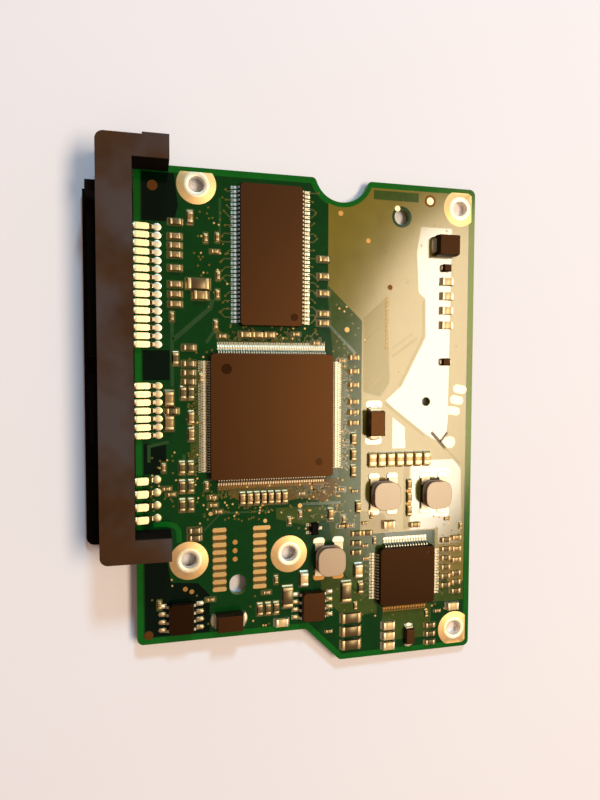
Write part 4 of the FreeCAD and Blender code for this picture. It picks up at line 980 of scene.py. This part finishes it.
class BOARD_OT_packages(bpy.types.Operator):
    """Finish the leaded packages: moulded bodies, formed leads and their solder"""
    bl_idname = "board.packages"
    bl_label = "Leaded packages"

    def execute(self, context):
        edge = context.scene.board_sizes.moulding_edge
        solder, marks = bmesh.new(), bmesh.new()
        # The dark finishes of the driver, the settings memory and the transistor are painted shade.
        for body, key, thickness, width, root, reach, foot, spread in (
            ("main_controller", "package", 0.14, 0.19, 0.78, 1.0, 0.5, 0.75),
            ("memory_chip", "package", 0.14, 0.3, 0.56, 0.8, 0.42, 0.5),
            ("motor_driver", "dense", 0.14, 0.22, 0.78, 1.0, 0.5, 0.5),
            ("settings_memory", "dense", 0.15, 0.42, 0.72, 1.05, 0.5, 0.5),
            ("power_switch", "package", 0.15, 0.42, 0.72, 1.05, 0.5, 0.5),
            ("small_transistor", "soot", 0.13, 0.3, 0.52, 0.4, 0.2, 0.3),
        ):
            dress(body, key, edge)
            leads = bmesh.new()
            heel, sole = reach - foot, thickness / 2
            line = [(-0.05, root), (heel * 0.4, root), (heel, sole), (reach, sole)]
            shape = lead_shape(line, thickness, width, bend=0.16)
            fullness = 1.5 if body == "memory_chip" else 1.7
            joint = fillet_shape(heel, reach, width * fullness, spread, rise=0.11)
            drop = as_mesh(dome(spread + 0.1, width * 0.9, height=0.26))
            has_drops = body in ("settings_memory", "power_switch")
            places = starts(body + "_leads", body)
            uppermost = max(place.translation.y for place in places) - 0.1
            for place in places:
                # Painted shade: the lowest rows of the two square packages face away from the lamps, so they get brown
                # solder, and the driver's leads there are brown too. The memory's left row, away from the warm lamp,
                # gets grey leads and grey solder.
                stained = body in ("main_controller", "motor_driver") and heading(place) == DOWN
                dull = body == "memory_chip" and heading(place) == LEFT
                stamp(leads, shape, place, 1 if dull else 2 if stained and body == "motor_driver" else 0)
                stamp(solder, joint, place, 1 if stained else 3 if dull else 0)
                if has_drops:
                    tone = 0 if place.translation.y > uppermost else 2
                    stamp(solder, drop, place @ Matrix.Translation((reach, 0, 0)), tone)
            piece("formed_" + body + "_leads", leads, ["tin", "dull", "flux"], "tinned_lead", body + "_leads")
        piece("lead_solder", solder, ["solder", "flux", "end", "dull"], "tinned_lead")
        for x, y, level, radius in MOULD_MARKS:
            stamp(marks, round_pad(radius, height=0.01), at(x, y, 0, level))
        piece("mould_marks", marks, ["mark"], "package_plastic")
        return {"FINISHED"}


class BOARD_OT_diodes(bpy.types.Operator):
    """Finish the moulded diodes and solder their folded terminals"""
    bl_idname = "board.diodes"
    bl_label = "Moulded diodes"

    def execute(self, context):
        edge = context.scene.board_sizes.moulding_edge
        solder = bmesh.new()
        # The suppressor's and the zeners' dark finish is painted shade.
        for body, key, spread in (
            ("rectifier_diodes", "package", 0.65), ("surge_suppressor", "dense", 0.3),
            ("small_diode", "package", 0.6), ("zener_diodes", "dense", 0.2),
        ):
            dress(body, key, edge)
            dress(body + "_terminals", "tin", edge / 3)
            bodies = islands(body)
            for box in islands(body + "_terminals"):
                _, outer, wide = side_of(box, nearest(box, bodies))
                height = box[1].z - box[0].z
                stamp(solder, end_fillet(wide + 0.2, height, spread * 0.6), outer)
                stamp(solder, as_mesh(dome(spread, wide * 0.55, min(0.3, height * 0.4))), outer)
        piece("diode_solder", solder, ["solder"], "tinned_lead")
        return {"FINISHED"}


class BOARD_OT_inductors(bpy.types.Operator):
    """Build the drum inductors: rounded cores, wire turns, bases and soldered clips"""
    bl_idname = "board.inductors"
    bl_label = "Drum inductors"

    def execute(self, context):
        cores, wires, solder = bmesh.new(), bmesh.new(), bmesh.new()
        bases = islands("inductor_bases")
        low, high = islands("inductor_cores")[0]
        half = (high.x - low.x) / 2
        flange, edge, corner = 0.4, 0.09, 1.6
        flanges = []
        for bottom in (low.z, high.z - flange):
            levels = [(bottom, edge), (bottom + edge, 0), (bottom + flange - edge, 0), (bottom + flange, edge)]
            rings = [rounded(half - inset, half - inset, corner - inset, z) for z, inset in levels]
            flanges.append(as_mesh(ringed(rings)))
        turns, inner, wall = 6, half - 0.75, 0.6
        pitch = (high.z - low.z - 2 * flange) / turns
        scallop = [(inner - wall, low.z + flange), (inner - wall, high.z - flange)]
        for turn in reversed(range(turns)):
            centre = low.z + flange + (turn + 0.5) * pitch
            for step in range(4 if turn else 5):
                swing = math.pi / 2 - math.pi * step / 4
                scallop.append((inner + pitch * math.cos(swing) / 2, centre + pitch * math.sin(swing) / 2))
        winding = as_mesh(turned(scallop, 28))
        for box in bases:
            place = at(*middle(box).xy)
            for mesh in flanges:
                stamp(cores, mesh, place)
            stamp(wires, winding, place)
        # Joints on a core's lower side, below 15 mm, take the brown solder.
        joint, overlap, brown_below = pad_shape(2.1, 1.25, corner=0.55, height=0.16), 0.3, 15
        for box in islands("inductor_terminals"):
            is_upper = box[1].y > middle(nearest(box, bases)).y
            y = box[1].y + overlap if is_upper else box[0].y - overlap
            stamp(solder, joint, at(middle(box).x, y), 1 if not is_upper and box[0].y < brown_below else 0)
        # Flat faces take the pale ferrite, partly a painted reflection of the lamp. The sides take the near-black
        # finish, partly painted shade.
        cores.normal_update()
        for face in cores.faces:
            face.material_index = 0 if abs(face.normal.z) > 0.5 else 1
        piece("drum_cores", cores, ["ferrite", "skin"], "ferrite", "inductor_cores")
        piece("wire_turns", wires, ["wire"], "winding_wire", "inductor_windings")
        piece("inductor_solder", solder, ["solder", "flux"], "tinned_lead")
        dress("inductor_bases", "base")
        dress("inductor_terminals", "tin")
        return {"FINISHED"}


class BOARD_OT_chips(bpy.types.Operator):
    """Build the chip resistors and capacitors with plated ends and solder fillets"""
    bl_idname = "board.chips"
    bl_label = "Chip parts"

    def execute(self, context):
        spread = context.scene.board_sizes.solder_spread / MM
        caps, solder, lands = bmesh.new(), bmesh.new(), bmesh.new()
        replaced = []
        # A body is let into its ends by a lap and lies a skin's depth below their faces.
        lap, skin = 0.03, 0.02
        # Lands show left of the power side, away from the lower and upper edges.
        # Large chips near the left edge are tan. The row capacitors and the other large ones take the pale body and
        # brighter ends, partly as a painted highlight where the lamp's glare falls.
        lands_before, lands_over, lands_under, tan_before = 35, 8.0, BOARD_LENGTH - 2.0, 12
        # The last column is the place of the ends' finish in the lists of chip_ends and chip_solder.
        for node, key, slot, length, width, height, cap, edge, bright in (
            ("bulk_capacitors", "brown", "capacitor_body", 3.2, 1.6, 0.65, 0.5, 0.05, 0),
            ("row_capacitors", "pale", "capacitor_body", 2.0, 1.25, 0.8, 0.8, 0.08, 2),
            ("large_capacitors", "pale", "capacitor_body", 2.0, 1.25, 0.8, 0.42, 0.05, 1),
            ("small_capacitors", "capacitor", "capacitor_body", 1.6, 0.8, 0.6, 0.34, 0.05, 0),
            ("small_resistors", "resistor", "resistor_body", 1.6, 0.8, 0.5, 0.34, 0.05, 0),
            ("tiny_chips", "capacitor", "capacitor_body", 1.0, 0.5, 0.35, 0.24, 0.05, 0),
        ):
            bodies = bmesh.new()
            half, side, inner = length / 2, width / 2, length / 2 - cap
            low, high = (-inner - lap, -side + skin, lap), (inner + lap, side - skin, height - skin)
            body = as_mesh(block(low, high, edge))
            end = as_mesh(block((inner, -side, 0), (half, side, height), edge))
            joint = end_fillet(width * 1.05, height, spread * min(1.0, length / 1.6))
            land = pad_shape(length + 1.0, width + 0.5, corner=0.25, height=HEIGHTS["land"])
            is_tiny, is_large = node == "tiny_chips", node == "large_capacitors"
            for x, y, angle in TINY_CHIPS if is_tiny else chip_places(node):
                if x < lands_before and lands_over < y < lands_under:
                    stamp(lands, land, at(x, y, angle))
                # Painted highlight in part: large chips away from the left edge get the pale body and bright solder
                # ends.
                is_tan = is_large and x < tan_before
                tone = 0 if is_tan else bright
                stamp(bodies, body, at(x, y, angle), 1 if is_tan else 0)
                for turn in (0, 180):
                    place = at(x, y, angle + turn)
                    stamp(caps, end, place, tone)
                    stamp(solder, joint, place @ Matrix.Translation((half, 0, 0)), tone)
            keys = [key, "capacitor"] if is_large else [key]
            if is_tiny:
                piece(node, bodies, keys, slot)
                continue
            piece(node + "_bodies", bodies, keys, slot, node)
            if not node.startswith("small"):
                replaced.append(node + "_terminals")
        piece("chip_lands", lands, ["trace"], "board_mask")
        piece("chip_ends", caps, ["end", "solder", "contact"], "tinned_lead", *replaced)
        piece("chip_solder", solder, ["end", "solder", "contact"], "tinned_lead")
        return {"FINISHED"}


class BOARD_OT_stage(bpy.types.Operator):
    """Set the floor, the lights and the camera"""
    bl_idname = "board.stage"
    bl_label = "Stage"

    def execute(self, context):
        scene = context.scene
        scene.view_settings.view_transform = "Standard"
        # The connector's underside and the board's right edge carry the part, so the floor slopes between them.
        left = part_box("connector_housing")
        rest_left = Vector((BOARD_LOW.x, 0, left[0].z))
        rest_right = Vector((BOARD_HIGH.x, 0, BOARD_LOW.z))
        slope = math.atan2(rest_right.z - rest_left.z, rest_right.x - rest_left.x)
        bm = bmesh.new()
        bmesh.ops.create_grid(bm, x_segments=1, y_segments=1, size=6)
        mesh = bpy.data.meshes.new("floor")
        bm.to_mesh(mesh)
        bm.free()
        mesh.materials.append(FINISHES["floor"])
        floor = bpy.data.objects.new("floor", mesh)
        floor.location = rest_left
        floor.rotation_euler = (0, -slope, 0)
        scene.collection.objects.link(floor)
        for name, spot, lean, across, tall, power, code in (
            ("warm softbox", (0.322, -0.012, 0.64), -13, 0.48, 0.2, 3.65, "#fff0da"),
            ("cool skylight", (0.1, 0.72, 0.52), 0, 0.14, 0.14, 4.3, "#a0dbff"),
        ):
            lamp = bpy.data.lights.new(name, "AREA")
            lamp.shape = "ELLIPSE"
            lamp.size = across
            lamp.size_y = tall
            lamp.energy = power
            lamp.color = linear(code)
            holder = bpy.data.objects.new(name, lamp)
            holder.location = spot
            aim = (-Vector(spot)).to_track_quat("-Z", "Y") @ Quaternion((0, 0, 1), math.radians(lean))
            holder.rotation_euler = aim.to_euler()
            scene.collection.objects.link(holder)
        world = bpy.data.worlds.new("studio")
        world.use_nodes = True
        world.node_tree.nodes.clear()
        sky = add(world.node_tree, "ShaderNodeBackground", {"Color": rgba(linear("#ffdccf")), "Strength": 0.26})
        add(world.node_tree, "ShaderNodeOutputWorld", {"Surface": sky.outputs[0]})
        scene.world = world
        camera = bpy.data.cameras.new("camera")
        camera.lens = 27.55
        camera.sensor_width = 36
        camera.clip_start = 0.005
        camera.clip_end = 20
        holder = bpy.data.objects.new("camera", camera)
        right, up, back = (0.97096, 0.00323, 0.2392), (0.00825, 0.99886, -0.04697), (-0.23908, 0.04757, 0.96983)
        turn = Matrix((right, up, back)).transposed().to_4x4()
        holder.matrix_world = Matrix.Translation((-0.02264, 0.007525, 0.09891)) @ turn
        scene.collection.objects.link(holder)
        scene.camera = holder
        return {"FINISHED"}


class BOARD_PT_panel(bpy.types.Panel):
    """Steps that build the board's looks, in order"""
    bl_label = "Circuit board"
    bl_idname = "BOARD_PT_panel"
    bl_space_type = "VIEW_3D"
    bl_region_type = "UI"
    bl_category = "Circuit board"

    def draw(self, context):
        for group in (context.scene.board_colours, context.scene.board_sizes):
            for name in group.bl_rna.properties.keys():
                if name not in ("rna_type", "name"):
                    self.layout.prop(group, name)
        for step in STEPS:
            self.layout.operator(step.bl_idname)


STEPS = (
    BOARD_OT_copper, BOARD_OT_tracks, BOARD_OT_pads, BOARD_OT_connector, BOARD_OT_packages, BOARD_OT_diodes,
    BOARD_OT_inductors, BOARD_OT_chips, BOARD_OT_stage,
)
CLASSES = (BoardColours, BoardSizes, *STEPS, BOARD_PT_panel)


def register():
    for entry in CLASSES:
        bpy.utils.register_class(entry)
    bpy.types.Scene.board_colours = PointerProperty(type=BoardColours)
    bpy.types.Scene.board_sizes = PointerProperty(type=BoardSizes)


def unregister():
    del bpy.types.Scene.board_sizes
    del bpy.types.Scene.board_colours
    for entry in reversed(CLASSES):
        bpy.utils.unregister_class(entry)


def main():
    register()
    FINISHES.update(make_materials(bpy.context.scene.board_colours))
    bpy.ops.board.copper()
    bpy.ops.board.tracks()
    bpy.ops.board.pads()
    bpy.ops.board.connector()
    bpy.ops.board.packages()
    bpy.ops.board.diodes()
    bpy.ops.board.inductors()
    bpy.ops.board.chips()
    bpy.ops.board.stage()


if __name__ == "__main__":
    main()
